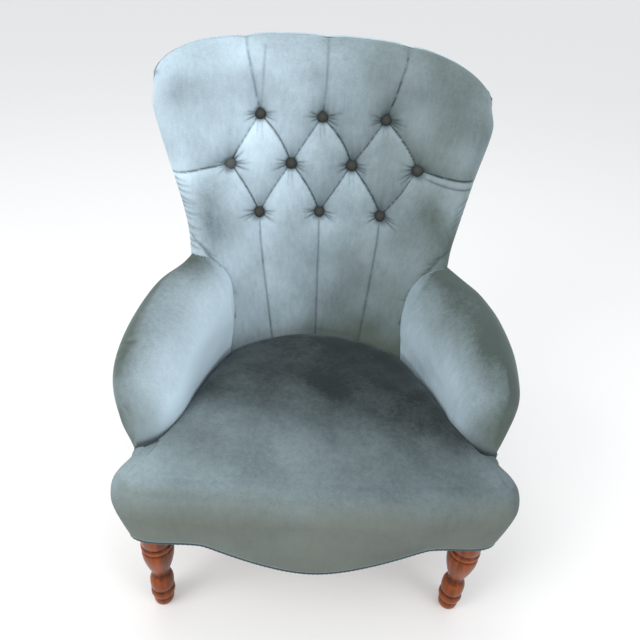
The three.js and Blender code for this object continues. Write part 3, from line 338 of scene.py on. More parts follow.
# %% Tone of the pile
tone = given["Nap And Painted Light"]
liveliness = calc(pile_group, "ADD", given["Nap And Painted Light"], 0.4, clamp=True)
for field, weight in ((patches, 0.12), (smudges, 0.22), (streaks, 0.2), (grain, 0.4)):
    off_middle = calc(pile_group, "MULTIPLY", calc(pile_group, "SUBTRACT", field, 0.5), liveliness)
    tone = calc(pile_group, "ADD", tone, calc(pile_group, "MULTIPLY", off_middle, weight))
crushed = calc(pile_group, "MULTIPLY", given["Bruise"], calc(pile_group, "ADD", smudges, 0.35))
tone = calc(pile_group, "SUBTRACT", tone, crushed, clamp=True)
tone_colour = mix_colours(pile_group, tone, given["Deep"], given["Pale"])
# The soil value is real soil and, on the back, also a painted shade tint.
uneven_soil = calc(pile_group, "ADD", patches, 0.3)
soiled = calc(pile_group, "MULTIPLY", given["Soil And Shade"], uneven_soil, clamp=True)
tone_colour = mix_colours(pile_group, soiled, tone_colour, given["Soil Colour"])
# Crease lines and button pits of painted shade are mixed over the tone.
creased = mix_colours(pile_group, given["Crease Shade"], tone_colour, given["Crease Colour"])
feed(pile_group, creased, wanted["Colour"])
soft_height = calc(pile_group, "MULTIPLY", smudges, 0.6)
feed(pile_group, calc(pile_group, "ADD", grain, soft_height), wanted["Height"])
print("pile has", len(pile_group.nodes), "nodes")

# %% [markdown]
# Every velvet on the chair is one shader with its own pale and deep colour. Sheen gives the
# bright haze along edges that turn away, which is what makes velvet look soft.

# %% Velvets


PILE_DEPTH, SHEEN_ROUGHNESS, SHEEN_TINT = 0.0006, 0.45, (214, 232, 238)


def velvet(name, pale, deep, crease=(48, 60, 64), sheen=0.32, soil=(128, 118, 104)):
    material, tree, shader, place = new_material(name)
    nap, bruise, creased, soiled = carried(tree, "nap", "bruise", "crease", "soil")
    pile = use_group(tree, pile_group, {
        "Vector": place, "Nap And Painted Light": nap, "Bruise": bruise, "Crease Shade": creased, "Soil And Shade": soiled,
        "Pale": srgb(*pale), "Deep": srgb(*deep), "Crease Colour": srgb(*crease),
        "Soil Colour": srgb(*soil),
    })
    raised = add_node(tree, "Bump", {"Strength": 0.5, "Distance": PILE_DEPTH, "Height": pile["Height"]})
    feed_all(tree, shader, {
        "Base Color": pile["Colour"], "Roughness": 0.9, "Specular IOR Level": 0.2, "Sheen Weight": sheen,
        "Sheen Roughness": SHEEN_ROUGHNESS, "Sheen Tint": srgb(*SHEEN_TINT), "Normal": raised.outputs[0],
    })
    return material


VELVET = velvet("velvet", (205, 226, 238), (52, 64, 62), soil=(108, 118, 108))
SEAT_VELVET = velvet("seat_velvet", (165, 185, 190), (16, 24, 26), sheen=0.2, soil=(118, 122, 110))
BUTTON_VELVET = velvet("button_velvet", (84, 92, 90), (14, 18, 18), crease=(8, 10, 10), sheen=0.06)
PIPING_VELVET = velvet("piping_velvet", (150, 170, 174), (78, 96, 100), sheen=0.25)
print("velvets:", [m.name for m in (VELVET, SEAT_VELVET, BUTTON_VELVET, PIPING_VELVET)])

# %% [markdown]
# The turned legs are stained and polished hardwood. The grain runs up each leg, so the noise is
# stretched along z, and thin dark pores sit in it. Polish gathers in the grooves and wears off
# the proud beads; each turned piece carries that as a value on its points. On the front legs
# the groove value also holds painted shade on the side that faces +x.

# %% Group for wood
WOOD_INPUTS = [
    ("Vector", "Vector"), ("Pale", "Color"), ("Deep", "Color"), ("Groove Dirt And Shade", "Float"), ("Worn", "Float"),
]
WOOD_OUTPUTS = [("Colour", "Color"), ("Height", "Float"), ("Roughness", "Float")]
ALONG_GRAIN, FIGURE_SCALE, PORE_SCALE, MARK_SCALE = (1.0, 1.0, 0.1), 130.0, 900.0, 60.0
DIRT_AND_SHADE_COLOUR, BARE_WOOD = (46, 22, 10), (192, 112, 54)
wood_group, given, wanted = new_group("wood", WOOD_INPUTS, WOOD_OUTPUTS)
stretch = add_node(wood_group, "Mapping", {"Vector": given["Vector"], "Scale": ALONG_GRAIN})
figure = noise(wood_group, stretch.outputs[0], FIGURE_SCALE, 4.0, 0.6)
pores = noise(wood_group, stretch.outputs[0], PORE_SCALE, 2.0, 0.5)
pore_lines = between(wood_group, pores, 0.56, 0.68)
marks = noise(wood_group, given["Vector"], MARK_SCALE, 5.0, 0.65)
shade = between(wood_group, figure, 0.3, 0.7)
wood_colour = mix_colours(wood_group, shade, given["Deep"], given["Pale"])
lines = calc(wood_group, "MULTIPLY", pore_lines, 0.45)
wood_colour = mix_colours(wood_group, lines, wood_colour, given["Deep"])
print("wood figure is", FIGURE_SCALE, "to the metre across the grain")

# %% Dirt, painted shade and wear of the wood
patchy = calc(wood_group, "ADD", marks, 0.3)
# The groove value is dirt in the grooves and, on the front legs, painted shade.
dirt_and_shade = calc(wood_group, "MULTIPLY", given["Groove Dirt And Shade"], patchy, clamp=True)
wood_colour = mix_colours(wood_group, dirt_and_shade, wood_colour, srgb(*DIRT_AND_SHADE_COLOUR))
rubbed = calc(wood_group, "MULTIPLY", given["Worn"], calc(wood_group, "ADD", marks, 0.1), clamp=True)
wood_colour = mix_colours(wood_group, rubbed, wood_colour, srgb(*BARE_WOOD))
feed(wood_group, wood_colour, wanted["Colour"])
raised_figure = calc(wood_group, "MULTIPLY", figure, 0.4)
feed(wood_group, calc(wood_group, "SUBTRACT", raised_figure, pore_lines), wanted["Height"])
uneven = calc(wood_group, "MULTIPLY", marks, 0.18)
dulled = calc(wood_group, "ADD", calc(wood_group, "MULTIPLY", rubbed, 0.25), 0.2)
feed(wood_group, calc(wood_group, "ADD", uneven, dulled), wanted["Roughness"])
print("wood has", len(wood_group.nodes), "nodes")

# %% Woods
PORE_DEPTH = 0.0003


def wood(name, pale, deep, coat=0.0, rough_extra=0.0, gloss=0.5):
    material, tree, shader, place = new_material(name)
    groove, worn = carried(tree, "groove", "worn")
    made = use_group(tree, wood_group, {
        "Vector": place, "Pale": srgb(*pale), "Deep": srgb(*deep), "Groove Dirt And Shade": groove, "Worn": worn,
    })
    raised = add_node(tree, "Bump", {"Strength": 0.35, "Distance": PORE_DEPTH, "Height": made["Height"]})
    feed_all(tree, shader, {
        "Base Color": made["Colour"], "Roughness": calc(tree, "ADD", made["Roughness"], rough_extra),
        "Specular IOR Level": gloss, "Coat Weight": coat, "Coat Roughness": 0.3,
        "Normal": raised.outputs[0],
    })
    return material


TURNED_WOOD = wood("turned_wood", (156, 70, 8), (80, 29, 4), coat=0.1, gloss=0.2)
FRAME_WOOD = wood("frame_wood", (205, 172, 124), (158, 118, 76), rough_extra=0.4)
print("woods:", TURNED_WOOD.name, FRAME_WOOD.name)

# %% [markdown]
# The hidden linings are jute webbing and hessian, a thin black dust cloth and steel springs.
# The woven cloths share one group: two crossed waves make the over and under of the threads.

# %% Group for plain weave
WEAVE_INPUTS = [("Vector", "Vector"), ("Threads", "Float"), ("Pale", "Color"), ("Deep", "Color")]
WEAVE_OUTPUTS = [("Colour", "Color"), ("Height", "Float")]
THREAD_WOBBLE, SLUB_SCALE = 0.6, 90.0
weave_group, given, wanted = new_group("weave", WEAVE_INPUTS, WEAVE_OUTPUTS)
crossing = []
for axis in ("X", "Y"):
    inputs = {"Vector": given["Vector"], "Scale": given["Threads"], "Distortion": THREAD_WOBBLE}
    crossing.append(add_node(weave_group, "TexWave", inputs, bands_direction=axis).outputs["Fac"])
weave_height = calc(weave_group, "MAXIMUM", crossing[0], crossing[1])
slubs = calc(weave_group, "ADD", noise(weave_group, given["Vector"], SLUB_SCALE, 3.0, 0.6), 0.45)
weave_tone = calc(weave_group, "MULTIPLY", weave_height, slubs, clamp=True)
weave_colour = mix_colours(weave_group, weave_tone, given["Deep"], given["Pale"])
feed(weave_group, weave_colour, wanted["Colour"])
feed(weave_group, weave_height, wanted["Height"])
print("weave has", len(weave_group.nodes), "nodes")

# %% Linings


def woven(name, pale, deep, threads, depth):
    material, tree, shader, place = new_material(name)
    made = use_group(tree, weave_group, {
        "Vector": place, "Threads": threads, "Pale": srgb(*pale), "Deep": srgb(*deep),
    })
    raised = add_node(tree, "Bump", {"Strength": 0.5, "Distance": depth, "Height": made["Height"]})
    feed_all(tree, shader, {
        "Base Color": made["Colour"], "Roughness": 0.92, "Normal": raised.outputs[0],
    })
    return material


JUTE = woven("jute", (196, 164, 116), (118, 90, 56), 130.0, 0.0006)
DUST_CLOTH = woven("dust_cloth", (52, 52, 56), (26, 26, 28), 260.0, 0.0003)
print("linings:", JUTE.name, DUST_CLOTH.name)

# %% Spring steel
BARE_STEEL, STEEL_RUST = (150, 150, 148), (118, 78, 52)
SPRING_STEEL, steel_tree, steel_shader, steel_place = new_material("spring_steel")
rust = between(steel_tree, noise(steel_tree, steel_place, 70.0, 4.0), 0.5, 0.7)
feed_all(steel_tree, steel_shader, {
    "Base Color": mix_colours(steel_tree, rust, srgb(*BARE_STEEL), srgb(*STEEL_RUST)),
    "Metallic": calc(steel_tree, "SUBTRACT", 0.9, rust, clamp=True),
    "Roughness": calc(steel_tree, "ADD", calc(steel_tree, "MULTIPLY", rust, 0.4), 0.35),
})
print("steel:", SPRING_STEEL.name)

# %% [markdown]
# Helpers for the shapes come next. Sizes on a hand-made thing blend into each other, so a
# few ways of blending are used all through: an eased step, a straight blend, a bump that fades
# on both sides, and a smooth curve read off a short table.

# %% Blends and curves


def ease(t):
    t = np.clip(t, 0, 1)
    return t * t * (3 - 2 * t)


def lerp(a, b, t):
    return a + (b - a) * t


def bump(away, width):
    """1 where away is nought, fading to nothing a few widths off on either side."""
    return np.exp(-((away / width) ** 2))


def spot(x, z, spot_x, spot_z, size):
    """A round bump about one place."""
    return np.exp(-((x - spot_x) ** 2 + (z - spot_z) ** 2) / size**2)


def table_curve(table):
    """A smooth value read off a short table of (key, value) pairs."""
    keys, values = np.array(table, float).T
    index = np.arange(len(keys))
    before, after = np.maximum(index - 1, 0), np.minimum(index + 1, len(keys) - 1)
    slopes = (values[after] - values[before]) / (keys[after] - keys[before])

    def at(key):
        k = np.clip(key, keys[0], keys[-1])
        i = np.clip(np.searchsorted(keys, k) - 1, 0, len(keys) - 2)
        span = keys[i + 1] - keys[i]
        t = (k - keys[i]) / span
        start = (2 * t**3 - 3 * t**2 + 1) * values[i] + (t**3 - 2 * t**2 + t) * span * slopes[i]
        return start + (3 * t**2 - 2 * t**3) * values[i + 1] + (t**3 - t**2) * span * slopes[i + 1]

    return at


print("halfway up an eased step:", float(ease(0.5)))

# %% [markdown]
# A mesh is made from a list of points and faces, read back as an array, and moved as an array,
# because a padded cover has tens of thousands of points. Values for its material, such as how
# the nap lies, are stored on the same points.

# %% Points of a mesh


def mesh_object(name, points, faces):
    """An object at the origin with this mesh. Points are in metres, in the frame."""
    mesh = bpy.data.meshes.new(name)
    mesh.from_pydata(np.asarray(points).tolist(), [], [list(f) for f in faces])
    made = bpy.data.objects.new(name, mesh)
    bpy.context.scene.collection.objects.link(made)
    return made


def points_of(piece):
    flat = np.zeros(len(piece.data.vertices) * 3)
    piece.data.vertices.foreach_get("co", flat)
    return flat.reshape(-1, 3)


def move_points(piece, points):
    piece.data.vertices.foreach_set("co", np.asarray(points, float).ravel())
    piece.data.update()


def normals_of(piece):
    flat = np.zeros(len(piece.data.vertices) * 3)
    piece.data.vertices.foreach_get("normal", flat)
    return flat.reshape(-1, 3)


def carry(piece, **values):
    """Stores a named value on every point of a piece, for its material to read."""
    for name, value in values.items():
        layer = piece.data.attributes.get(name) or piece.data.attributes.new(name, "FLOAT", "POINT")
        spread = np.broadcast_to(value, len(piece.data.vertices))
        layer.data.foreach_set("value", spread.astype(np.float32))


print("points are kept in metres and shaped in millimetres,", 1 / MM, "to one")

# %% [markdown]
# Every mesh is made ready the same way: its doubles are merged, its faces are turned outwards and
# it is shaded smooth. The last step gives it one material, its slot and its place on the chair's
# one body, and hides the CAD nodes that it stands for.

# %% Facing, smoothing and finishing
MERGE_DISTANCE, WIDE_MERGE_DISTANCE = 1e-6, 1e-5


def select_only(piece):
    bpy.ops.object.select_all(action="DESELECT")
    piece.select_set(True)
    bpy.context.view_layer.objects.active = piece


def face_outwards(piece, merge=MERGE_DISTANCE):
    """Merges doubles and turns all faces outwards, by their neighbours and by the volume inside."""
    select_only(piece)
    bpy.ops.object.mode_set(mode="EDIT")
    bpy.ops.mesh.select_all(action="SELECT")
    bpy.ops.mesh.remove_doubles(threshold=merge)
    bpy.ops.mesh.normals_make_consistent(inside=False)
    bpy.ops.object.mode_set(mode="OBJECT")
    shape = bmesh.new()
    shape.from_mesh(piece.data)
    if shape.calc_volume(signed=True) < 0:
        bmesh.ops.reverse_faces(shape, faces=shape.faces)
        shape.to_mesh(piece.data)
    shape.free()


def smooth(piece, angle=180):
    select_only(piece)
    bpy.ops.object.shade_smooth_by_angle(angle=math.radians(angle))


def finish_piece(piece, material, nodes=()):
    """The last step for every piece: material, slot, body and the nodes it stands for."""
    piece.data.materials.clear()
    piece.data.materials.append(material)
    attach(piece, "root")
    if nodes:
        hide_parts(*nodes)
    triangles = sum(len(p.vertices) - 2 for p in piece.data.polygons)
    print(piece.name, len(piece.data.vertices), "points,", triangles, "triangles")


print("doubles closer than", MERGE_DISTANCE / MM, "mm are merged")

# %% [markdown]
# Stuffing is lumpy and a worn nap is patchy. Both come from a few sine waves that cross at
# random. The random numbers are seeded, so the chair is the same each time.

# %% Seeded unevenness
WAVE_COUNT = 14


def soft_waves(points, size, seed):
    """A smooth, seeded unevenness of about -1 to 1, with humps of about this size in mm."""
    rng = np.random.default_rng(seed)
    total = np.zeros(len(points))
    for _ in range(WAVE_COUNT):
        direction = rng.normal(size=3)
        direction *= rng.uniform(0.6, 1.5) * math.pi / size / np.linalg.norm(direction)
        total += np.sin(points @ direction + rng.uniform(0, 2 * math.pi))
    return total / math.sqrt(WAVE_COUNT / 2)


print(WAVE_COUNT, "waves to each unevenness")

# %% [markdown]
# Most of the soft pieces are closed grids: a fine outer surface, and a coarser hidden one that is
# stitched to its edge. A cushion could also be a subdivided box, but only a grid can have its
# lines run exactly along the channels and pleats, so that a fold stays sharp.

# %% Helper for a closed grid


def closed_grid(front, back, every):
    """Faces between a fine grid of points and a coarser one with every nth row and column."""
    rows, columns = front.shape[0] - 1, front.shape[1] - 1
    start = front.shape[0] * front.shape[1]
    back_columns = columns // every

    def fine(i, j):
        return j * (columns + 1) + i

    def coarse(i, j):
        return start + (j // every) * (back_columns + 1) + i // every

    i, j = (a.ravel() for a in np.meshgrid(np.arange(columns), np.arange(rows)))
    faces = np.stack([fine(i, j), fine(i + 1, j), fine(i + 1, j + 1), fine(i, j + 1)], 1).tolist()
    for j in range(0, rows, every):
        for i in range(0, columns, every):
            far_i, far_j = i + every, j + every
            faces.append([coarse(far_i, j), coarse(i, j), coarse(i, far_j), coarse(far_i, far_j)])
    for i in range(0, columns, every):
        steps = range(i, i + every + 1)
        lower, upper = [fine(k, 0) for k in reversed(steps)], [fine(k, rows) for k in steps]
        faces.append([coarse(i, 0), coarse(i + every, 0)] + lower)
        faces.append([coarse(i + every, rows), coarse(i, rows)] + upper)
    for j in range(0, rows, every):
        steps = range(j, j + every + 1)
        right, left = [fine(columns, k) for k in reversed(steps)], [fine(0, k) for k in steps]
        faces.append([coarse(columns, j), coarse(columns, j + every)] + right)
        faces.append([coarse(0, j + every), coarse(0, j)] + left)
    points = np.concatenate([front.reshape(-1, 3), back.reshape(-1, 3)])
    return points, faces


print("closed grids are stitched along all four edges")

# %% [markdown]
# The back is a raked, hollow surface cut to a fan. The same formulas as in the drawing give its
# face, the outside of the chair behind it, its two edges and how full the stuffing is near them.

# %% Lines of the back
SEAT_EDGE_Z, BACK_FOOT_Z, CREST_Z, SHOULDER_Z = 345, 304, 902, 800
RAKE, BACK_FACE_Y, BACK_DEPTH = 0.36, 412, 92
CREST_SQUARENESS, CREST_SHOULDER, EDGE_CURL = 3.2, 0.62, 14
FACE_HOLLOW, REAR_HOLLOW, HOLLOW_FADE_Z, HOLLOW_REACH = (97, 24), (44, 28), 745, 200
RIM_THICKNESS, SIDE_ROLL, TOP_ROLL, RIM_LOW_Z, RIM_HIGH_Z = 5, 62, 70, 496, 540
POST_DEPTH, HESSIAN_THICKNESS, CLOTH_THICKNESS, TOUCH, TUCK = 30, 1.5, 3, 0.4, 2
fan_half_width = table_curve([
    (BACK_FOOT_Z, 216), (430, 228), (500, 264), (560, 281), (680, 319), (760, 343), (SHOULDER_Z, 347),
])


def hollow(z, ends):
    return lerp(*ends, ease((z - SEAT_EDGE_Z) / (HOLLOW_FADE_Z - SEAT_EDGE_Z))) / HOLLOW_REACH**2


def face_y(x, z):
    return BACK_FACE_Y + RAKE * (z - SEAT_EDGE_Z) - hollow(z, FACE_HOLLOW) * x**2


def rear_y(x, z):
    return BACK_FACE_Y + BACK_DEPTH + RAKE * (z - SEAT_EDGE_Z) - hollow(z, REAR_HOLLOW) * x**2


def crest_z(x):
    share = np.minimum(1, np.abs(x) / fan_half_width(SHOULDER_Z))
    return lerp(SHOULDER_Z, CREST_Z, (1 - share**CREST_SQUARENESS) ** CREST_SHOULDER)


def edge_fill(distance, reach):
    return np.sqrt(1 - (1 - np.clip(distance / reach, 0, 1)) ** 2)


def back_fill(x, z):
    return edge_fill(fan_half_width(z) - np.abs(x), SIDE_ROLL) * edge_fill(crest_z(x) - z, TOP_ROLL)


def pad_back_y(x, z):
    return rear_y(x, z) - POST_DEPTH - HESSIAN_THICKNESS - TUCK


def rim_y(x, z):
    flush = rear_y(x, z) - CLOTH_THICKNESS - 3 * TOUCH
    return lerp(pad_back_y(x, z), flush, ease((z - RIM_LOW_Z) / (RIM_HIGH_Z - RIM_LOW_Z)))


print("the back leans", round(math.degrees(math.atan(RAKE)), 1), "degrees")

# %% [markdown]
# The real chair has settled out of true. Its right wing is drawn in, its left one bulges at the
# waist, the corners have dropped or risen a little, the cloth dips at each pleat, and several
# buttons have been pulled off their grid. One function moves any point of the back by that much,
# so that the cover, the buttons and the outside panel stay together.

# %% How the back has settled
# (x, z) of a button, and how far it has moved across and up.
PULLED = [
    (-132, 753, -2.5, -2), (-6, 753, -4, -4), (120, 753, -2, 0), (57, 663, -2, 2), (190, 663, -3, 8),
    (120, 573, 0, 5), (-132, 573, 2, 2),
]
PULL_REACH = 38
PLEAT_TOPS, PLEAT_DIP, PLEAT_DIP_WIDTH = (-171, -6, 159), 3.5, 13
CREST_DIP, WING_IN, CORNER_IN, CORNER_UP, TIP_IN = 5, 7, 9, 12, 5
WING_X, WAIST_Z, WAIST_REACH = 190, 585, 75


def settled(points):
    """Where points of the drawing are now that the chair has settled out of true."""
    x, y, z = np.moveaxis(np.asarray(points, float), -1, 0)
    right_wing = ease((x - WING_X) / 130) * ease((z - 425) / 70)
    left_wing = ease((-x - WING_X) / 90) * bump(z - WAIST_Z, WAIST_REACH)
    right_corner = np.exp(-(((x - 350) / 62) ** 2) - ((z - 815) / 60) ** 2)
    left_corner = bump(x + 300, 70) * ease((z - 770) / 70)
    dip = CREST_DIP * ease((z - 800) / 80)
    for pleat in PLEAT_TOPS:
        dip = dip + PLEAT_DIP * bump(x - pleat, PLEAT_DIP_WIDTH) * ease((z - 840) / 45)
    tip = np.exp(-(((np.abs(x) - 347) / 20) ** 2) - ((z - 803) / 24) ** 2)
    across = WING_IN * left_wing - WING_IN * right_wing
    across = across - CORNER_IN * right_corner - TIP_IN * np.sign(x) * tip
    rise = CORNER_UP * left_corner - 3 * right_corner - dip - 2 * tip
    for button_x, button_z, move_x, move_z in PULLED:
        pulled = spot(x, z, button_x, button_z, PULL_REACH)
        across, rise = across + move_x * pulled, rise + move_z * pulled
    return np.stack([x + across, y, z + rise], -1)


print(len(PULLED), "buttons have been pulled off their grid")

# %% [markdown]
# Ten buttons pull the face in, and folds run from button to button, up to the crest and down to
# the seat. On the real chair the cloth is laid in a pleat along each fold, the upper cushion
# over the lower one, so each fold here has a lap: one side stands proud and the other dives. The
# diagonal folds bow a little, because the cloth hangs from them, and one soft fold runs beside
# each arm, where the back is sewn to it.

# %% Buttons
BUTTON_PITCH, OUTER_BUTTON_X, BUTTON_DRIFT = 126, 190, -6
TOP_ROW_Z, ROW_PITCH = 753, 90
BUTTON_PIT, PIT_REACH, FOLD_DEPTH, FOLD_REACH = 20, 22, 13, 20
SIDE_FOLD_DROP, PLEAT_TOP_X, CHANNEL_FOOT_X = 12, 165, 88
MIDDLE_ROW_Z, BOTTOM_ROW_Z = TOP_ROW_Z - ROW_PITCH, TOP_ROW_Z - 2 * ROW_PITCH
ROWS = {
    "top": (TOP_ROW_Z, (-1, 0, 1)),
    "middle": (MIDDLE_ROW_Z, (-0.5, 0.5)),
    "bottom": (BOTTOM_ROW_Z, (-1, 0, 1)),
}
BUTTONS = {
    row: [(BUTTON_DRIFT + place * BUTTON_PITCH, z) for place in places]
    for row, (z, places) in ROWS.items()
}
BUTTONS["outer"] = [(-OUTER_BUTTON_X, MIDDLE_ROW_Z), (OUTER_BUTTON_X, MIDDLE_ROW_Z)]
ALL_BUTTONS = (
    BUTTONS["top"] + BUTTONS["outer"][:1] + BUTTONS["middle"] + BUTTONS["outer"][1:] + BUTTONS["bottom"]
)
BUTTON_NODES = [
    "button_top_1", "button_top_2", "button_top_3", "button_outer_4", "button_middle_5",
    "button_middle_6", "button_outer_7", "button_bottom_8", "button_bottom_9", "button_bottom_10",
]
print(len(ALL_BUTTONS), "buttons in", len(ROWS), "rows and at the sides")

# %% Folds between the buttons
# The line in which the back is sewn to each arm, as (height, distance from the middle).
ARM_SEAM = np.array([
    (346, 170), (391, 173), (417, 180), (460, 191), (507, 214), (537, 240), (560, 281),
], float)
FALLING_DARK, RISING_DARK, DIAMOND_BOW = 0.75, 0.22, 7


def seam_x(z):
    return np.interp(z, ARM_SEAM[:, 0], ARM_SEAM[:, 1])


def bowed(start, end, bow, steps=8):
    """A line from start to end that bows to its left by this much at its middle."""
    start, end = np.array(start, float), np.array(end, float)
    t = np.linspace(0, 1, steps + 1)[:, None]
    left = np.array([start[1] - end[1], end[0] - start[0]]) / np.linalg.norm(end - start)
    return start + (end - start) * t + left * bow * 4 * t * (1 - t)


def diamond_folds():
    """The folds of the diamonds, as (line, depth at its start, at its end, lap, darkness)."""
    folds = []
    for x, z in BUTTONS["middle"] + BUTTONS["outer"]:
        for other_x, other_z in BUTTONS["top"] + BUTTONS["bottom"]:
            if abs(other_x - x) < BUTTON_PITCH * 0.6:
                first, last = sorted([(x, z), (other_x, other_z)])
                falling = first[1] > last[1]
                dark = FALLING_DARK if falling else RISING_DARK
                if first[0] > BUTTON_PITCH / 2:
                    dark *= 0.5
                bow = DIAMOND_BOW if falling else 3
                folds.append((bowed(first, last, bow), FOLD_DEPTH, FOLD_DEPTH, 1.5, dark))
    return folds


def edge_folds():
    """The side folds, the pleats, the channels, the folds beside the arms and two odd ones."""
    folds = []
    for side, (x, z) in zip((-1, 1), BUTTONS["outer"]):
        edge = (side * fan_half_width(z), z - SIDE_FOLD_DROP * (side < 0) + 4 * (side > 0))
        dark = 0.38 if side < 0 else 0.8
        folds.append((bowed((x, z), edge, side * 3), FOLD_DEPTH, FOLD_DEPTH * 0.4, 1.6 * side, dark))
    for side, (x, z) in zip((-1, 0, 1), BUTTONS["top"]):
        top = (BUTTON_DRIFT + side * PLEAT_TOP_X, CREST_Z)
        folds.append((bowed((x, z), top, 0), FOLD_DEPTH, FOLD_DEPTH * 0.35, 1.2, 0.5))
    for side, (x, z) in zip((-1, 0, 1), BUTTONS["bottom"]):
        foot = (side * CHANNEL_FOOT_X, BACK_FOOT_Z)
        folds.append((bowed((x, z), foot, 0), FOLD_DEPTH, FOLD_DEPTH * 0.5, 0.7, 0.55))
    for side in (-1, 1):
        heights = range(400, 555, 15)
        beside_arm = np.array([(side * (seam_x(z) - 7 + (z - 420) / 40), z) for z in heights])
        folds.append((beside_arm, 0.5, 2, 0, 0.6))
    left_pleat = np.array(BUTTONS["top"][0]) + (2, 10)
    folds.append((bowed(left_pleat, left_pleat + (2, 112), 0), 3, 1, 0.6, 0.32))
    right_fold = np.array(BUTTONS["outer"][1]) + (14, -9)
    folds.append((bowed(right_fold, (fan_half_width(652), 652), 2), 2, 1, 0.6, 0.42))
    return folds


FOLDS = diamond_folds() + edge_folds()
print(len(FOLDS), "folds")

# %% Distance from a fold


def near_line(x, z, line):
    """How far points are from a line, how far along it, and on which side (1 is left)."""
    away, along, side = np.full(x.shape, np.inf), np.zeros(x.shape), np.ones(x.shape)
    for k, (a, b) in enumerate(zip(line[:-1], line[1:])):
        d = b - a
        t = np.clip(((x - a[0]) * d[0] + (z - a[1]) * d[1]) / (d @ d), 0, 1)
        distance = np.hypot(x - a[0] - t * d[0], z - a[1] - t * d[1])
        closer = distance < away
        away = np.where(closer, distance, away)
        along = np.where(closer, (k + t) / (len(line) - 1), along)
        to_left = d[0] * (z - a[1]) - d[1] * (x - a[0]) >= 0
        side = np.where(closer, np.where(to_left, 1.0, -1.0), side)
    return away, along, side


reach_of_first = near_line(np.array([0.0]), np.array([float(TOP_ROW_Z)]), FOLDS[0][0])[0][0]
print("the first fold passes", round(reach_of_first), "mm from the middle of the top row")

# %% [markdown]
# Short strokes of strained cloth fan out from each button, two rows of gathers hold the cloth at
# the edges, and little hatch marks show where the back is sewn to the arms. Each is a shallow
# groove along a straight line. The strokes are listed, or drawn by a seeded rule around each
# button, so they come out the same each time.

# %% Strokes round the buttons
STROKE_WIDTH, EDGE_STROKE_WIDTH = 2.4, 2.6


def fan(centre, angles, length, depth, rng, inner=8.0):
    strokes = []
    for angle in angles:
        angle = math.radians(angle + rng.uniform(-5, 5))
        reach = inner + length * rng.uniform(0.7, 1.15)
        direction = np.array([math.cos(angle), math.sin(angle)])
        start, end = np.array(centre) + inner * direction, np.array(centre) + reach * direction
        strokes.append((start, end, depth, STROKE_WIDTH))
    return strokes


def button_strokes(rng):
    """The strokes round the buttons, as (start, end, depth, width)."""
    strokes = []
    for row in ("top", "middle", "bottom"):
        for centre in BUTTONS[row]:
            strokes += fan(centre, (-22, -6, 12), 27, 2.0, rng)
            strokes += fan(centre, (162, 176, 196), 27, 2.0, rng)
            if row != "bottom":
                for offset in (-4, 4):
                    start = np.array((centre[0] + offset, centre[1] - 13))
                    strokes.append((start, start + (offset * 0.4, -30), 0.8, 2.0))
    left, right = BUTTONS["outer"]
    strokes += fan(left, (-12, 4, 22, 42, 62), 36, 2.0, rng)
    strokes += fan(left, (165, 195, 215), 22, 1.3, rng)
    strokes += fan(right, (150, 166, 180, 196, 212), 34, 2.0, rng)
    strokes += fan(right, (-30, 15), 22, 1.3, rng)
    return strokes


stroke_rng = np.random.default_rng(4)
STROKES = button_strokes(stroke_rng)
print(len(STROKES), "strokes round the buttons")

# %% Strokes at the edges


def edge_strokes(rng):
    """Gathers up the left side, a few on the right one, and two tucks at the left shoulder."""
    strokes = []
    for z in np.arange(532, 650, 9.2):
        z += rng.uniform(-2, 2)
        edge, reach = -fan_half_width(z) + 4, rng.uniform(24, 44)
        end = np.array((edge + reach, z + rng.uniform(-4, 5)))
        strokes.append((np.array((edge, z)), end, 1.5, EDGE_STROKE_WIDTH))
    for z in (604, 616, 628, 641):
        edge = fan_half_width(z) - 6
        strokes.append((np.array((edge, z)), np.array((edge - 38, z - 20)), 1.3, 2.8))
    for z in (838, 813):
        strokes.append((np.array((-347, z)), np.array((-322, z + 1)), 4.5, 4.0))
    return strokes


def seam_hatch():
    """Short gathers beside the line in which the back is sewn to each arm."""
    rng = np.random.default_rng(9)
    strokes = []
    for side in (-1, 1):
        for z in np.arange(450, 545, 7 if side < 0 else 11):
            start = np.array((side * (seam_x(z) - 5), z))
            run = np.array((-side * rng.uniform(9, 20), -rng.uniform(5, 10)))
            strokes.append((start, start + run, 1.5, 2.2))
    return strokes


STROKES = STROKES + edge_strokes(stroke_rng) + seam_hatch()
print(len(STROKES), "strokes on the back")

# %% [markdown]
# The relief adds it all up for any point of the cloth: how far folds and buttons pull it in, how
# deep the small grooves are, and how much painted shade lies in each crease and groove and round
# each button pit, where no light gets in.

# %% Relief of the back
CREASE_WIDTH, LAP_PROUD, LAP_DIVE = 2.2, 9, 5
SHADE_WIDTH, SHADE_ABOVE, SHADE_BELOW, SHADE_RING = 8.5, 26, 13, 15


def near(x, z, line, reach):
    low, high = line.min(0) - reach, line.max(0) + reach
    return np.flatnonzero((x > low[0]) & (x < high[0]) & (z > low[1]) & (z < high[1]))


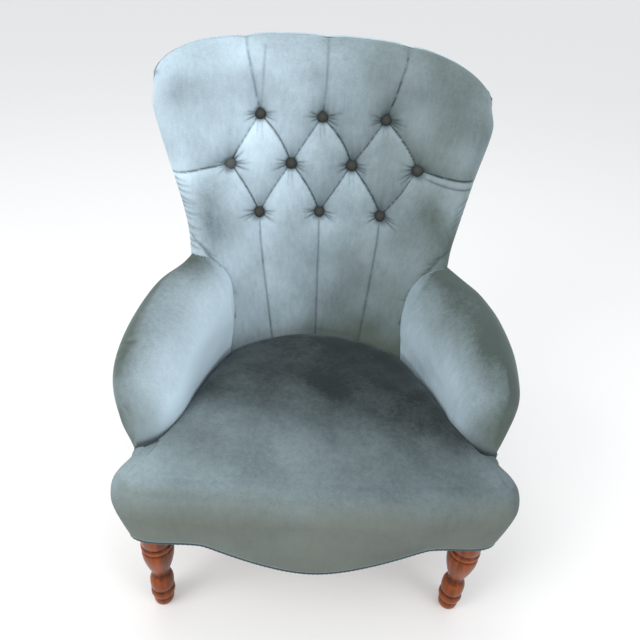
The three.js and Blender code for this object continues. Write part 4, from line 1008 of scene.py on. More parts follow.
def back_relief(x, z):
    """How far folds, buttons and strokes pull the face in, and how dark each point of them is."""
    fold, lap, dark = np.zeros(x.shape), np.zeros(x.shape), np.zeros(x.shape)
    for line, start, end, lift, darkness in FOLDS:
        here = near(x, z, line, 6 * FOLD_REACH)
        away, along, side = near_line(x[here], z[here], line)
        fold[here] = np.maximum(fold[here], lerp(start, end, along) * np.exp(-away / FOLD_REACH))
        ends = np.clip(np.minimum(along, 1.1 - along) * 12, 0, 1)
        lap[here] -= lift * side * np.exp(-away / np.where(side * lift > 0, LAP_PROUD, LAP_DIVE)) * ends
        dark[here] = np.maximum(dark[here], darkness * bump(away, CREASE_WIDTH))
    pit = np.zeros(x.shape)
    for button_x, button_z in ALL_BUTTONS:
        away = np.hypot(x - button_x, z - button_z)
        pit += BUTTON_PIT * np.exp(-away / PIT_REACH)
        above = z - button_z
        shade_reach = np.where(above > 0, above / SHADE_ABOVE, -above / SHADE_BELOW)
        shadow = 0.72 * np.exp(-np.abs(x - button_x) / SHADE_WIDTH - shade_reach)
        dark = np.maximum(np.maximum(dark, shadow), 0.85 * np.exp(-((away / SHADE_RING) ** 4)))
    groove = np.zeros(x.shape)
    for start, end, depth, width in STROKES:
        here = near(x, z, np.array([start, end]), 4 * width)
        away, along, _ = near_line(x[here], z[here], np.array([start, end]))
        taper = np.clip(1.15 - along, 0, 1)
        groove[here] = np.maximum(groove[here], depth * taper * bump(away, width))
        stroke_dark = min(0.9, 0.45 * depth) * taper
        dark[here] = np.maximum(dark[here], stroke_dark * bump(away, 0.85 * width))
    return fold + pit + lap, groove, dark


def padded_face_y(x, z):
    """The stuffed face of the back, as (y, darkness of its creases)."""
    pull, groove, dark = back_relief(x, z)
    rim = rim_y(x, z) - RIM_THICKNESS
    fill = back_fill(x, z)
    return rim - (rim - face_y(x, z) - pull) * fill + groove * np.minimum(1, 0.4 + fill), dark


deepest = back_relief(*(np.array(a, float) for a in zip(*ALL_BUTTONS)))[0].max()
print("the deepest button is pulled in by", round(float(deepest)), "mm")

# %% [markdown]
# The back's grid has its columns along the channels and pleats. It is made flat first, as a
# pattern of the cloth in x and z, then cut finer around the buttons, and only then does every
# point move to its place on the stuffed face. So the fine points lie on the true surface too.

# %% Pattern of the inside back
BACK_COLUMNS, BACK_ROWS, BACK_COARSE = 280, 240, 8
BUTTON_ROW, PLEAT_COLUMN, OUTER_COLUMN = 20 / 26, 0.4, 0.6
pleat_x = table_curve([
    (BACK_FOOT_Z, CHANNEL_FOOT_X), (BOTTOM_ROW_Z, BUTTON_PITCH), (TOP_ROW_Z, BUTTON_PITCH),
    (CREST_Z, PLEAT_TOP_X),
])


def outer_column_x(pleat, edge):
    share = (OUTER_BUTTON_X - BUTTON_PITCH) / (fan_half_width(MIDDLE_ROW_Z) - BUTTON_PITCH)
    return lerp(pleat, edge, share)


def back_pattern(u, v):
    """x and z of the cloth at a share across and a share up its grid."""
    across = np.abs(2 * u - 1)
    above = np.clip((v - BUTTON_ROW) / (1 - BUTTON_ROW), 0, 1)
    low = lerp(BACK_FOOT_Z, TOP_ROW_Z, np.minimum(1, v / BUTTON_ROW))
    level = np.where(v <= BUTTON_ROW, low, lerp(TOP_ROW_Z, CREST_Z, 1 - (1 - above) ** 1.5))
    pleat = pleat_x(level)
    edge = fan_half_width(level - (CREST_Z - SHOULDER_Z) * above**1.5)
    outer = outer_column_x(pleat, edge)
    inner_x = across / PLEAT_COLUMN * pleat
    middle_x = lerp(pleat, outer, (across - PLEAT_COLUMN) / (OUTER_COLUMN - PLEAT_COLUMN))
    last = np.clip((across - OUTER_COLUMN) / (1 - OUTER_COLUMN), 0, 1)
    outer_x = lerp(outer, edge, 1 - (1 - last) ** 1.5)
    x = np.where(across <= PLEAT_COLUMN, inner_x, np.where(across <= OUTER_COLUMN, middle_x, outer_x))
    z = level - (CREST_Z - crest_z(x)) * above**1.5
    drift = BUTTON_DRIFT * np.clip((OUTER_COLUMN - across) / (OUTER_COLUMN - PLEAT_COLUMN), 0, 1)
    return np.sign(2 * u - 1) * x + drift, z


print("pattern of", BACK_COLUMNS, "by", BACK_ROWS, "squares")

# %% Flat pattern, cut finer at the buttons
# While the pattern is flat, y says what a point is: on the face, on the edge that curls, behind.
FRONT_FLAG, CURL_FLAG, REAR_FLAG = 0.0, 1.0, 2.0
FINE_RADIUS = 25


def back_grid(columns, rows, flag):
    u, v = np.meshgrid(np.linspace(0, 1, columns + 1), np.linspace(0, 1, rows + 1))
    x, z = back_pattern(u, v)
    return np.stack([x, np.full(x.shape, flag), z], -1)


def with_curl(flat):
    """Marks the outermost ring, on the sides and the crest, as the one that curls under."""
    ring = np.zeros(flat.shape[:2], bool)
    ring[:, 0] = ring[:, -1] = ring[-1, :] = True
    flat[..., 1] = np.where(ring, CURL_FLAG, flat[..., 1])
    return flat


flat_front = with_curl(back_grid(BACK_COLUMNS, BACK_ROWS, FRONT_FLAG))
flat_rear = back_grid(BACK_COLUMNS // BACK_COARSE, BACK_ROWS // BACK_COARSE, REAR_FLAG)
inside_back = mesh_object("inside_back_cover", *closed_grid(flat_front, flat_rear, BACK_COARSE))

shape = bmesh.new()
shape.from_mesh(inside_back.data)
shape.edges.ensure_lookup_table()
mid = np.array([(e.verts[0].co + e.verts[1].co) / 2 for e in shape.edges])
close = np.zeros(len(mid), bool)
for button_x, button_z in ALL_BUTTONS:
    close |= np.hypot(mid[:, 0] - button_x, mid[:, 2] - button_z) < FINE_RADIUS
close &= np.abs(mid[:, 1]) < 1e-6
edges_to_cut = [shape.edges[k] for k in np.flatnonzero(close)]
bmesh.ops.subdivide_edges(shape, edges=edges_to_cut, cuts=1, use_grid_fill=True)
shape.to_mesh(inside_back.data)
shape.free()
print(len(edges_to_cut), "edges near buttons were cut in two")

# %% Stuffed shape of the inside back
SIDE_CURL_REACH, TOP_CURL_REACH = 10, 14
x, flag, z = points_of(inside_back).T
face, crease = padded_face_y(x, z)
curled = np.isclose(flag, CURL_FLAG)
rear = np.isclose(flag, REAR_FLAG)
y = np.where(rear, pad_back_y(x, z), np.where(curled, rim_y(x, z) - 1, face))
side_gap = fan_half_width(z) - np.abs(x)
top_gap = crest_z(x) - z
side_in = EDGE_CURL * np.clip(1 - side_gap / SIDE_CURL_REACH, 0, 1) ** 2
top_in = EDGE_CURL * np.clip(1 - top_gap / TOP_CURL_REACH, 0, 1) ** 2
stuffed = np.stack([x - np.sign(x) * side_in, y, z - top_in], 1)
move_points(inside_back, to_frame(settled(stuffed)))
face_outwards(inside_back)
smooth(inside_back)
print(inside_back.name, "is", round(float(np.ptp(y)), 1), "mm from its hollow to its rear")

# %% [markdown]
# The values that the velvet reads are worked out from the finished shape. The tone is palest to
# the left of the back and falls off to the right as painted shade. Painted light and shade follow
# how each point faces a chosen light and the slopes of the relief, darker above and to the right
# of each pit; a painted highlight runs along the rolled upper edges, stronger on the right, and
# painted shade lies where the back meets the seat. The bruises are crushed pile at the corners,
# beside the waist and below the outer buttons; the soil value greys the cloth along the seat and
# holds a painted shade tint to the right and low down.

# %% Bruises of the back
# (x, z) of each bruise, its size in mm and how crushed the pile is there.
BRUISES = [
    (-231, 629, 40, 0.32), (-209, 553, 42, 0.3), (-222, 590, 34, 0.22), (-297, 788, 46, 0.25),
    (-320, 700, 30, 0.2), (268, 828, 40, 0.16), (211, 847, 34, 0.14), (213, 615, 30, 0.2),
    (236, 580, 34, 0.14), (215, 540, 30, 0.1), (300, 760, 40, 0.08), (-150, 820, 40, 0.1),
]


def bruise_at(x, z):
    total = np.zeros(x.shape)
    for bruise_x, bruise_z, size, strength in BRUISES:
        total += strength * spot(x, z, bruise_x, bruise_z, size)
    return np.minimum(1, total)


bruise = bruise_at(x, z)
print(len(BRUISES), "bruises, the worst", round(float(bruise.max()), 2))

# %% Tone, painted light and painted shade of the back
LIGHT_FROM, SEAT_LINE_Z = (-0.6, -0.75, 0.28), 345
placed = from_frame(points_of(inside_back))
# The slopes of the relief, which lay painted shade over it below.
slope_x = (back_relief(x + 1, z)[0] - back_relief(x - 1, z)[0]) / 2
slope_z = (back_relief(x, z + 1)[0] - back_relief(x, z - 1)[0]) / 2
# towards_light paints light and shade by how each point faces LIGHT_FROM.
towards_light = normals_of(inside_back) @ np.array(LIGHT_FROM)
# A painted highlight along the rolled edges of the upper back, stronger on the right.
painted_edge_highlight = np.exp(-np.maximum(0, fan_half_width(z) - np.abs(x)) / 22) * ease((z - 540) / 60)
# Painted light and shade from towards_light, and painted shade towards the right.
nap = 0.57 + 0.2 * towards_light - 0.45 * ease((x + 190) / 330)
nap = nap + 0.25 * painted_edge_highlight * np.where(x > 0, 1.8, 0.4)
nap = nap + 0.22 * spot(x, z, -165, 715, 60) - 0.13 * ease((560 - z) / 160) * ease((x + 120) / 200)
# Painted shade on the slopes of the relief, darker above and to the right of each pit.
nap = nap - 0.1 * spot(x, z, 225, 590, 70) + 0.3 * slope_z + 0.13 * slope_x
# Painted shade where the back meets the seat.
nap = nap - 0.2 * np.exp(-np.abs(z - SEAT_LINE_Z) / 22) + 0.04 * soft_waves(placed, 60, 11)
# A painted shade tint, greyer to the right and low down, less under the painted highlight.
right_soil = (0.4 * ease((x + 60) / 260) + 0.15 * ease((600 - z) / 160)) * (1 - 0.7 * painted_edge_highlight)
soil = 0.25 * bump(z - SEAT_LINE_Z, 30) + right_soil
carry(inside_back, nap=nap, crease=crease, bruise=bruise, soil=soil)
finish_piece(inside_back, VELVET, ["inside_back"])

# %% [markdown]
# A covered button is a metal shell with velvet pulled over it and gathered underneath, on a
# twine that runs through the pad to a small toggle at the back. One is modelled: a profile is
# spun about its axis, and its skirt is pinched into small gathers. Each of the ten is a copy,
# turned square to the raked back and set in its pit.

# %% Spinning a profile


def spun(name, profile, sides):
    """A turned shape at the origin: an edge chain of (radius, height) in mm, spun once round z."""
    chain = [(k, k + 1) for k in range(len(profile) - 1)]
    mesh = bpy.data.meshes.new(name)
    mesh.from_pydata([(r * MM, 0, h * MM) for r, h in profile], chain, [])
    made = bpy.data.objects.new(name, mesh)
    bpy.context.scene.collection.objects.link(made)
    select_only(made)
    bpy.ops.object.mode_set(mode="EDIT")
    bpy.ops.mesh.select_all(action="SELECT")
    bpy.ops.mesh.spin(steps=sides, angle=2 * math.pi, center=(0, 0, 0), axis=(0, 0, 1))
    bpy.ops.object.mode_set(mode="OBJECT")
    face_outwards(made, merge=WIDE_MERGE_DISTANCE)
    return made


print("ready to spin profiles, as a lathe does")

# %% Profile and gathers of a button
BUTTON_RADIUS, BUTTON_THICKNESS, BUTTON_STANDOFF, BUTTON_EDGE = 11, 7, 6, 3
TWINE_RADIUS, TOGGLE_RADIUS, TOGGLE_THICKNESS = 1.4, 6, 2
BUTTON_SIDES, DOME_STEPS, GATHERS, GATHER_DEPTH = 48, 9, 14, 0.045


def button_profile(through):
    """A button's dome, its underside, and its twine and toggle at this depth behind it."""
    quarter = np.linspace(0, math.pi / 2, DOME_STEPS)
    dome_height = BUTTON_THICKNESS - BUTTON_EDGE
    dome = [(BUTTON_RADIUS * math.cos(a), BUTTON_EDGE + dome_height * math.sin(a)) for a in quarter]
    dome[-1] = (0, BUTTON_THICKNESS)
    toggle = [(0, -through - TOGGLE_THICKNESS), (TOGGLE_RADIUS, -through - TOGGLE_THICKNESS)]
    twine = [(TOGGLE_RADIUS, -through), (TWINE_RADIUS, -through), (TWINE_RADIUS, -0.6)]
    return toggle + twine + [(BUTTON_RADIUS * 0.8, 0), (BUTTON_RADIUS * 0.97, 1.2)] + dome


def pinch(points):
    """Gathers the skirt of a button: its lower edge goes in and out round the rim."""
    x, y, z = points.T
    angle = np.arctan2(y, x)
    radius = np.hypot(x, y)
    skirt = np.clip(1 - np.abs(z - 2.2 * MM) / (2.6 * MM), 0, 1) * (radius > 6 * MM)
    gathers = 1 + GATHER_DEPTH * skirt * np.sin(GATHERS * angle + 1.3 * np.sin(3 * angle))
    return np.stack([x * gathers, y * gathers, z], 1)


print("a button is", 2 * BUTTON_RADIUS, "mm across, with", GATHERS, "gathers")

# %% Ten buttons
PALE_BUTTON, WORN_LIGHT, DARK_LIGHT = 3, 0.9, 0.3
pit_x, pit_z = (np.array(a, float) for a in zip(*ALL_BUTTONS))
seat_of_button = padded_face_y(pit_x, pit_z)[0] - BUTTON_STANDOFF
lean = math.atan(RAKE)
tilt = Matrix.Rotation(math.pi / 2 - lean, 4, "X")
for k, node in enumerate(BUTTON_NODES):
    to_post = rear_y(pit_x[k], pit_z[k]) - POST_DEPTH - seat_of_button[k]
    through = to_post * math.cos(lean) + 4 * TOUCH
    button = spun(node.replace("button", "covered_button"), button_profile(through), BUTTON_SIDES)
    move_points(button, pinch(points_of(button)))
    height = points_of(button)[:, 2] / MM
    rim = np.hypot(*points_of(button)[:, :2].T) / (BUTTON_RADIUS * MM)
    light = WORN_LIGHT if k == PALE_BUTTON else DARK_LIGHT
    # Painted shade at the foot of each button, under its skirt.
    painted_foot_shade = 0.5 * np.clip(1.4 - height, 0, 1)
    carry(button, nap=light + 0.3 * np.clip(1 - rim, 0, 1), crease=painted_foot_shade, bruise=0.2, soil=0.1)
    place = Vector(to_frame(settled((pit_x[k], seat_of_button[k], pit_z[k]))))
    button.data.transform(Matrix.Translation(place) @ tilt)
    smooth(button, 50)
    finish_piece(button, BUTTON_VELVET, [node])

# %% [markdown]
# Seen from above, the inside of the tub is one line: round the back, then forward along each
# arm. It is a smooth curve through a few points, made with the same centripetal rule as in the
# drawing, so that pieces made here and there meet.

# %% Curves through points


def smooth_through(points, per_span=60):
    """Points on a centripetal Catmull-Rom curve, and their parameter, evenly spaced in each span."""
    points = np.asarray(points, float)
    padded = np.concatenate([[2 * points[0] - points[1]], points, [2 * points[-1] - points[-2]]])
    out = []
    for p0, p1, p2, p3 in zip(padded[:-3], padded[1:-2], padded[2:-1], padded[3:]):
        steps = [max(np.linalg.norm(b - a) ** 0.5, 1e-4) for a, b in ((p0, p1), (p1, p2), (p2, p3))]
        t1 = ((p1 - p0) / steps[0] - (p2 - p0) / (steps[0] + steps[1]) + (p2 - p1) / steps[1]) * steps[1]
        t2 = ((p2 - p1) / steps[1] - (p3 - p1) / (steps[1] + steps[2]) + (p3 - p2) / steps[2]) * steps[1]
        t = np.linspace(0, 1, per_span, endpoint=False)[:, None]
        c2, c3 = -3 * p1 + 3 * p2 - 2 * t1 - t2, 2 * p1 - 2 * p2 + t1 + t2
        out.append(p1 + t1 * t + c2 * t**2 + c3 * t**3)
    return np.concatenate(out + [points[-1:]])


class Line:
    """A sampled curve, read by share of its length or by share of its spans."""

    def __init__(self, samples):
        self.samples = np.asarray(samples, float)
        steps = np.linalg.norm(np.diff(self.samples[:, :2], axis=0), axis=1)
        self.shares = np.concatenate([[0], np.cumsum(steps)])
        self.length = self.shares[-1]
        self.shares = self.shares / self.length

    def by_length(self, share):
        return np.stack([np.interp(share, self.shares, c) for c in self.samples.T], -1)

    def by_span(self, share):
        spans = np.linspace(0, 1, len(self.samples))
        return np.stack([np.interp(share, spans, c) for c in self.samples.T], -1)

    def left(self, share, step=2e-3):
        ahead = self.by_length(np.clip(share + step, 0, 1)) - self.by_length(np.clip(share - step, 0, 1))
        left = np.stack([-ahead[..., 1], ahead[..., 0]], -1)
        return left / np.linalg.norm(left, axis=-1, keepdims=True)


print("a quarter turn has", len(smooth_through([(1, 0), (0.7, 0.7), (0, 1)])), "points")

# %% Tub line and front line
TUB_LINE = [
    (0, 410), (88, 391), (145, 359), (173, 332), (201, 263), (221, 190), (236, 122), (262, 80),
    (300, 60),
]
tub_right = Line(smooth_through(TUB_LINE))
tub_whole = Line(smooth_through([(-x, y) for x, y in TUB_LINE[:0:-1]] + TUB_LINE))
NOSE_HALF_WIDTH, NOSE_DEPTH, NOSE_BACK_Y, NOSE_SQUARENESS, NOSE_SKEW = 331, 117, 57, 5, 0.25
nose_angle = np.linspace(-math.pi / 2, math.pi / 2, 4001)
nose = Line(np.stack([
    np.sign(nose_angle) * NOSE_HALF_WIDTH * np.abs(np.sin(nose_angle)) ** (2 / NOSE_SQUARENESS),
    NOSE_BACK_Y - NOSE_DEPTH * np.abs(np.cos(nose_angle)) ** (2 / NOSE_SQUARENESS),
], 1))
print("tub line", round(tub_whole.length), "mm, front line", round(nose.length), "mm")

# %% [markdown]
# The seat is a sprung cushion that is nailed down all round. Its top is crowned, with a hollow
# that use has left in the middle; its front edge is a stuffed roll; and the border falls from
# it to a curved lower edge. One grid runs from the tub line, over the roll, to that edge. The two
# front corners have gone slack, so they are drawn in where nothing fills them any more.

# %% Sizes and corners of the seat
SEAT_CROWN, SEAT_SAG, SEAT_TUCK_DEPTH = 26, 9, 8
ROLL_RADIUS, BORDER_WIDEST_Z, BORDER_BOTTOM_Z, BORDER_INSET, BORDER_PAD = 48, 303, 242, 8, 22
APRON_DROP, APRON_HALF_WIDTH, RAIL_TOP_Z = 65, 185, 300
SEAT_TOP_SHARE, SEAT_ROLL_SHARE, CORNER_TIGHTNESS = 8 / 15, 12 / 15, 0.4


def apron_drop(x):
    """How far the border's lower edge hangs below its corners, with two spots where it is pulled up."""
    pulled = 6 * ease((np.abs(x) - 285) / 40) - 6 * bump(np.abs(x) - 205, 46)
    return APRON_DROP * ease(1 - np.abs(x) / APRON_HALF_WIDTH) ** 0.65 + pulled


def seat_frame(u):
    """For each column: its two ends, its direction, the room between them and the roll's radius."""
    away = np.abs(2 * u - 1)
    share = 0.5 + 0.5 * np.sign(u - 0.5) * away * (1 - NOSE_SKEW * (1 - away))
    outer, outward = nose.by_length(share), -nose.left(share)
    inner = tub_whole.by_length(u) - TUCK * tub_whole.left(u)
    room = np.linalg.norm(outer - inner, axis=-1)
    corner = 2 * np.abs(outward[..., 0] * outward[..., 1])
    tight = CORNER_TIGHTNESS * np.maximum(corner, outward[..., 0] ** 2)
    radius = np.minimum(ROLL_RADIUS * (1 - tight), 0.7 * room)
    return outer, outward, inner, room, radius, BORDER_INSET * (1 - corner)


def worn_corner(points):
    """The seat's two front corners are slack: drawn in under the arm tips and along their lower edge."""
    x, y, z = np.moveaxis(points, -1, 0)
    side = ease((np.abs(x) - 262) / 60)
    back, low = ease((y - 2) / 55), np.clip((BORDER_WIDEST_Z - z) / 61, 0, 1.1)
    under_tip, lower_edge_in = 20 * back * (1 - 0.5 * ease(low)), 15 * low**1.4 * (1 - 0.4 * back)
    return np.stack([x - np.sign(x) * side * np.maximum(under_tip, lower_edge_in), y, z], -1)


lowest = BORDER_BOTTOM_Z - float(apron_drop(0))
print("at its middle the border ends", round(lowest), "mm above the floor")

# %% Seat surface


def seat_top(u, w):
    """The seat's outer surface, in drawing millimetres, for columns u and shares w of their length."""
    outer, outward, inner, room, radius, inset = seat_frame(u)
    roll_start = outer - outward * radius[..., None]
    crown = SEAT_CROWN * np.clip(room / 320, 0, 1)
    along = np.clip(w / SEAT_TOP_SHARE, 0, 1) ** 1.2
    flat_xy = lerp(inner, roll_start, along[..., None])
    from_edge = np.linalg.norm(flat_xy - inner, axis=-1)
    dive = SEAT_TUCK_DEPTH * ease((inner[..., 1] - 60) / 70) * np.exp(-from_edge / 10)
    sag = SEAT_SAG * np.exp(-(flat_xy[..., 0] ** 2 + (flat_xy[..., 1] - 210) ** 2) / 120**2)
    flat_z = SEAT_EDGE_Z + crown * np.sin(math.pi * along**0.9) + 5 * along - dive - sag
    angle = np.clip((w - SEAT_TOP_SHARE) / (SEAT_ROLL_SHARE - SEAT_TOP_SHARE), 0, 1) * math.pi / 2
    roll_xy = roll_start + outward * (radius * np.sin(angle))[..., None]
    roll_z = lerp(BORDER_WIDEST_Z, SEAT_EDGE_Z + 5, np.cos(angle))
    down = np.clip((w - SEAT_ROLL_SHARE) / (1 - SEAT_ROLL_SHARE), 0, 1)
    border_xy = outer - outward * (inset * down**1.5)[..., None]
    border_z = lerp(BORDER_WIDEST_Z, BORDER_BOTTOM_Z - apron_drop(border_xy[..., 0]), down)
    on_top, on_roll = w <= SEAT_TOP_SHARE, w <= SEAT_ROLL_SHARE
    xy = np.where(on_top[..., None], flat_xy, np.where(on_roll[..., None], roll_xy, border_xy))
    z = np.where(on_top, flat_z, np.where(on_roll, roll_z, border_z))
    return worn_corner(np.concatenate([xy, z[..., None]], -1))


def seat_under(u, w):
    """The seat's hidden underside: flat on its hessian, and behind the border's padding."""
    outer, outward, inner, room, radius, _ = seat_frame(u)
    thickness = np.minimum(BORDER_PAD, 0.9 * room)
    deck = RAIL_TOP_Z + HESSIAN_THICKNESS + 3 * TOUCH
    inner = inner.copy()
    at_back = np.clip((inner[..., 1] - NOSE_BACK_Y) / NOSE_DEPTH, 0, 1)
    inner[..., 1] -= RAKE * (SEAT_EDGE_Z - deck) * at_back
    roll_start = outer - outward * radius[..., None]
    behind = outer - outward * thickness[..., None]
    share = np.clip((w - SEAT_TOP_SHARE) / (SEAT_ROLL_SHARE - SEAT_TOP_SHARE), 0, 1)
    flat_xy = lerp(inner, roll_start, (np.clip(w / SEAT_TOP_SHARE, 0, 1) ** 1.2)[..., None])
    xy = np.where((w <= SEAT_TOP_SHARE)[..., None], flat_xy, lerp(roll_start, behind, share[..., None]))
    down = np.clip((w - SEAT_ROLL_SHARE) / (1 - SEAT_ROLL_SHARE), 0, 1)
    z = lerp(deck, BORDER_BOTTOM_Z - apron_drop(behind[..., 0]), down)
    return worn_corner(np.concatenate([xy, z[..., None]], -1))


SEAT_COLUMNS, SEAT_ROWS, SEAT_COARSE = 288, 180, 6
u, w = np.meshgrid(np.linspace(0, 1, SEAT_COLUMNS + 1), np.linspace(0, 1, SEAT_ROWS + 1))
seat_front = seat_top(u, w)
seat_back = seat_under(u[::SEAT_COARSE, ::SEAT_COARSE], w[::SEAT_COARSE, ::SEAT_COARSE])
seat_points, seat_faces = closed_grid(seat_front, seat_back, SEAT_COARSE)
seat = mesh_object("seat_cover", to_frame(seat_points), seat_faces)
face_outwards(seat)
print(seat.name, "rises to", round(float(seat_front[..., 2].max())), "mm")

# %% [markdown]
# Use has left the seat uneven, with lumps of two sizes in its stuffing. They move points along
# their normals by a millimetre or two, and fade out at the edges, which are nailed. The tone is
# painted light and shade: darkest at the back of the top and where it faces up, darker to the
# right, and paler where it faces the front or the left. A painted highlight lies on the front
# corners, the hem is pale, and a thin painted shade lies where the top tucks in along its back
# edge; the soil of many calves is on the border.

# %% Lumps of the seat
TOP_EDGE_Z = 338
placed = from_frame(points_of(seat))
normal = normals_of(seat)
outside = (normal[:, 2] > 0.3) | (placed[:, 1] < 60)
tucked = ease((placed[:, 2] - TOP_EDGE_Z) / 14)
lumps = 1.5 * soft_waves(placed, 90, 3) + 0.6 * soft_waves(placed, 34, 5)
top_only = np.where(outside & (placed[:, 2] > TOP_EDGE_Z), tucked, 0)
placed = placed + normal * (lumps * top_only)[:, None]
move_points(seat, to_frame(placed))
smooth(seat)
print("lumps of up to", round(float(np.abs(lumps * top_only).max()), 1), "mm")

# %% Tone, painted light and painted shade of the seat
NAP_FLOOR, HEM_WIDTH, CORNER_X, CORNER_Y, CORNER_SIZE = 0.05, 3.5, 300, 15, 55
normal = normals_of(seat)
facing_front = np.clip(-normal[:, 1], 0, 1)
facing_up = np.clip(normal[:, 2], 0, 1)
forward = ease((380 - placed[:, 1]) / 420)
rightward = ease((placed[:, 0] + 160) / 420)
x, y, z = placed.T
# Painted light and shade by how each point faces: darker facing up, towards the back and the right.
nap = 0.05 + 0.47 * forward**1.9 * facing_up + 0.17 * facing_front**1.4
nap = nap - 0.25 * rightward * (0.2 + 0.8 * facing_up)
nap = nap + 0.1 * np.clip(-normal[:, 0], 0, 1) + 0.03 * soft_waves(placed, 70, 21)
# A painted highlight on the two front corners.
painted_corner_highlight = spot(np.abs(x), y, CORNER_X, CORNER_Y, CORNER_SIZE) * (z > 300)
nap = nap + 0.2 * painted_corner_highlight * np.where(x < 0, 1, 0.6)
hem = bump(z - (BORDER_BOTTOM_Z - apron_drop(x)), HEM_WIDTH) * (facing_front > 0.2)
nap = nap + 0.3 * hem
nap = NAP_FLOOR * np.logaddexp(0, (nap - 0.03) / NAP_FLOOR)
# A thin painted shade where the top tucks in along the back and arms.
painted_tuck_shade = 0.55 * bump(z - TOP_EDGE_Z, 5) * (y > 70)
crushed = 0.05 * np.clip(soft_waves(placed, 55, 8), 0, 1)
soil = (0.06 + 0.7 * facing_front**2) * (1 - 0.7 * hem)
carry(seat, nap=nap, crease=painted_tuck_shade, bruise=crushed, soil=soil)
finish_piece(seat, SEAT_VELVET, ["seat_pad"])

# %% [markdown]
# Each arm is a fat roll that starts at the waist of the back, swings outwards, and drops to the
# seat at the front. It could be a bent cylinder, but its section changes all along: it is lofted
# through contours that stand across it. The inner side is one quarter of a tall ellipse, the
# outer side of a flatter one, and below it is open round the timber.

# %% Lines of an arm
# The outer line of an arm, as ((x, y), height of its top, how far outwards its top lies).
ARM_STATIONS = [
    ((258, 425), 524, 0.75), ((318, 305), 512, 0.5), ((342, 205), 500, 0.35),
    ((342, 122), 472, 0.25), ((326, 80), 416, 0.2), ((309, 62.5), 354, 0),
]
# The two arms have settled differently: how far out each station has moved, to the left and right.
ARM_SPREAD = {-1: (0, 6, 2, 0, -2, -5), 1: (0, 0, 0, -6, -12, -12)}
arm_outer = {}
for side, spread in ARM_SPREAD.items():
    moved = [(x + out, y, top) for ((x, y), top, _), out in zip(ARM_STATIONS, spread)]
    arm_outer[side] = Line(smooth_through(moved))
station_shares = np.linspace(0, 1, len(ARM_STATIONS))
arm_peak = table_curve([(share, peak) for share, (_, _, peak) in zip(station_shares, ARM_STATIONS)])
corner = np.array(TUB_LINE[3])
steps_along = np.linspace(0, 1, 401)
ARM_START = steps_along[np.argmin(np.linalg.norm(tub_right.by_length(steps_along) - corner, axis=1))]
print("an arm starts", round(ARM_START * tub_right.length), "mm along the tub line")

# %% Sections of an arm
ARM_BULGE, ARM_HOLLOW, HOLLOW_MIDDLE, ARM_FOOT_Z, INNER_STEPS = 5.5, 0.45, 0.15, 304, 14
CONTOUR_ANGLES = np.radians(np.concatenate([np.linspace(180, 90, 26), np.linspace(86, -52, 34)]))
HOLLOW_ANGLES = np.radians([-40, 0, 60, 120, 180])
LOW_OUTER = 0.8  # below its middle the outer side is flatter by this much


def arm_station(t, side):
    """Where an arm's section stands at a share of its length, and how large it is."""
    share = lerp(ARM_START, 1, t)
    inner = tub_right.by_length(share) + TUCK * tub_right.left(share)
    outer = arm_outer[side].by_span(t)
    across = outer[:2] - inner
    half = np.linalg.norm(across) / 2
    rise = outer[2] - SEAT_EDGE_Z
    tip_lift = 6 * ease((t - 0.8) / 0.2)
    return {
        "centre": (inner + outer[:2]) / 2, "across": across / (2 * half), "half": half,
        "top": outer[2], "peak": half * float(arm_peak(t)),
        "inner_rise": 0.58 * rise + 2, "outer_rise": 0.36 * rise + 3 + tip_lift,
    }


def arm_contour(s):
    """The arm's section at a station, as (distance across from its middle, height)."""
    half, peak, inner_rise, outer_rise = s["half"], s["peak"], s["inner_rise"], s["outer_rise"]
    bulge = ARM_BULGE * min(1, half / 50)
    inner_middle, outer_middle = s["top"] - inner_rise, s["top"] - outer_rise
    contour = [(-half + 4, ARM_FOOT_Z), (-half + 1.5, 330)]
    for share in np.linspace(0, 1, INNER_STEPS, endpoint=False):
        swell = bulge * math.sin(share * math.pi / 2)
        contour.append((-half - swell, lerp(SEAT_EDGE_Z - 2, inner_middle, share)))
    for angle in CONTOUR_ANGLES:
        c, s_ = math.cos(angle), math.sin(angle)
        if c < 0:
            contour.append((peak + c * (half + peak + bulge), inner_middle + s_ * inner_rise))
        else:
            fall = outer_rise * (1 if s_ > 0 else LOW_OUTER)
            contour.append((peak + c * (half - peak), outer_middle + s_ * fall))
    for angle in HOLLOW_ANGLES:
        c, s_ = math.cos(angle), math.sin(angle)
        hollow_z = outer_middle + s_ * outer_rise * ARM_HOLLOW
        contour.append((half * (HOLLOW_MIDDLE + c * ARM_HOLLOW), hollow_z))
    wall = half * (HOLLOW_MIDDLE - ARM_HOLLOW)
    return np.array(contour + [(wall, SEAT_EDGE_Z - 2), (wall, ARM_FOOT_Z)])


def arm_points(t, side):
    s = arm_station(t, side)
    contour = arm_contour(s)
    xy = s["centre"] + contour[:, :1] * s["across"]
    return np.column_stack([side * xy[:, 0], xy[:, 1], contour[:, 1]])


print("a section has", len(arm_points(0.5, 1)), "points")

# %% [markdown]
# The arm is drawn on past the back to the outside of the chair, and the stuffed back and the
# post are then cut out of it with a boolean modifier, as a maker cuts the wadding round them.
# The cutters are merged copies of the CAD solids.

# %% Lofting


def loft(contours):
    """Faces through closed contours with the same number of points, and a cap at each end."""
    count, stations = len(contours[0]), len(contours)
    k, m = (a.ravel() for a in np.meshgrid(np.arange(stations - 1), np.arange(count), indexing="ij"))
    n = (m + 1) % count
    here, next_one = k * count, (k + 1) * count
    faces = np.stack([here + m, here + n, next_one + n, next_one + m], 1).tolist()
    faces.append(list(range(count)))
    faces.append(list(range((stations - 1) * count, stations * count))[::-1])
    return np.concatenate(contours), faces


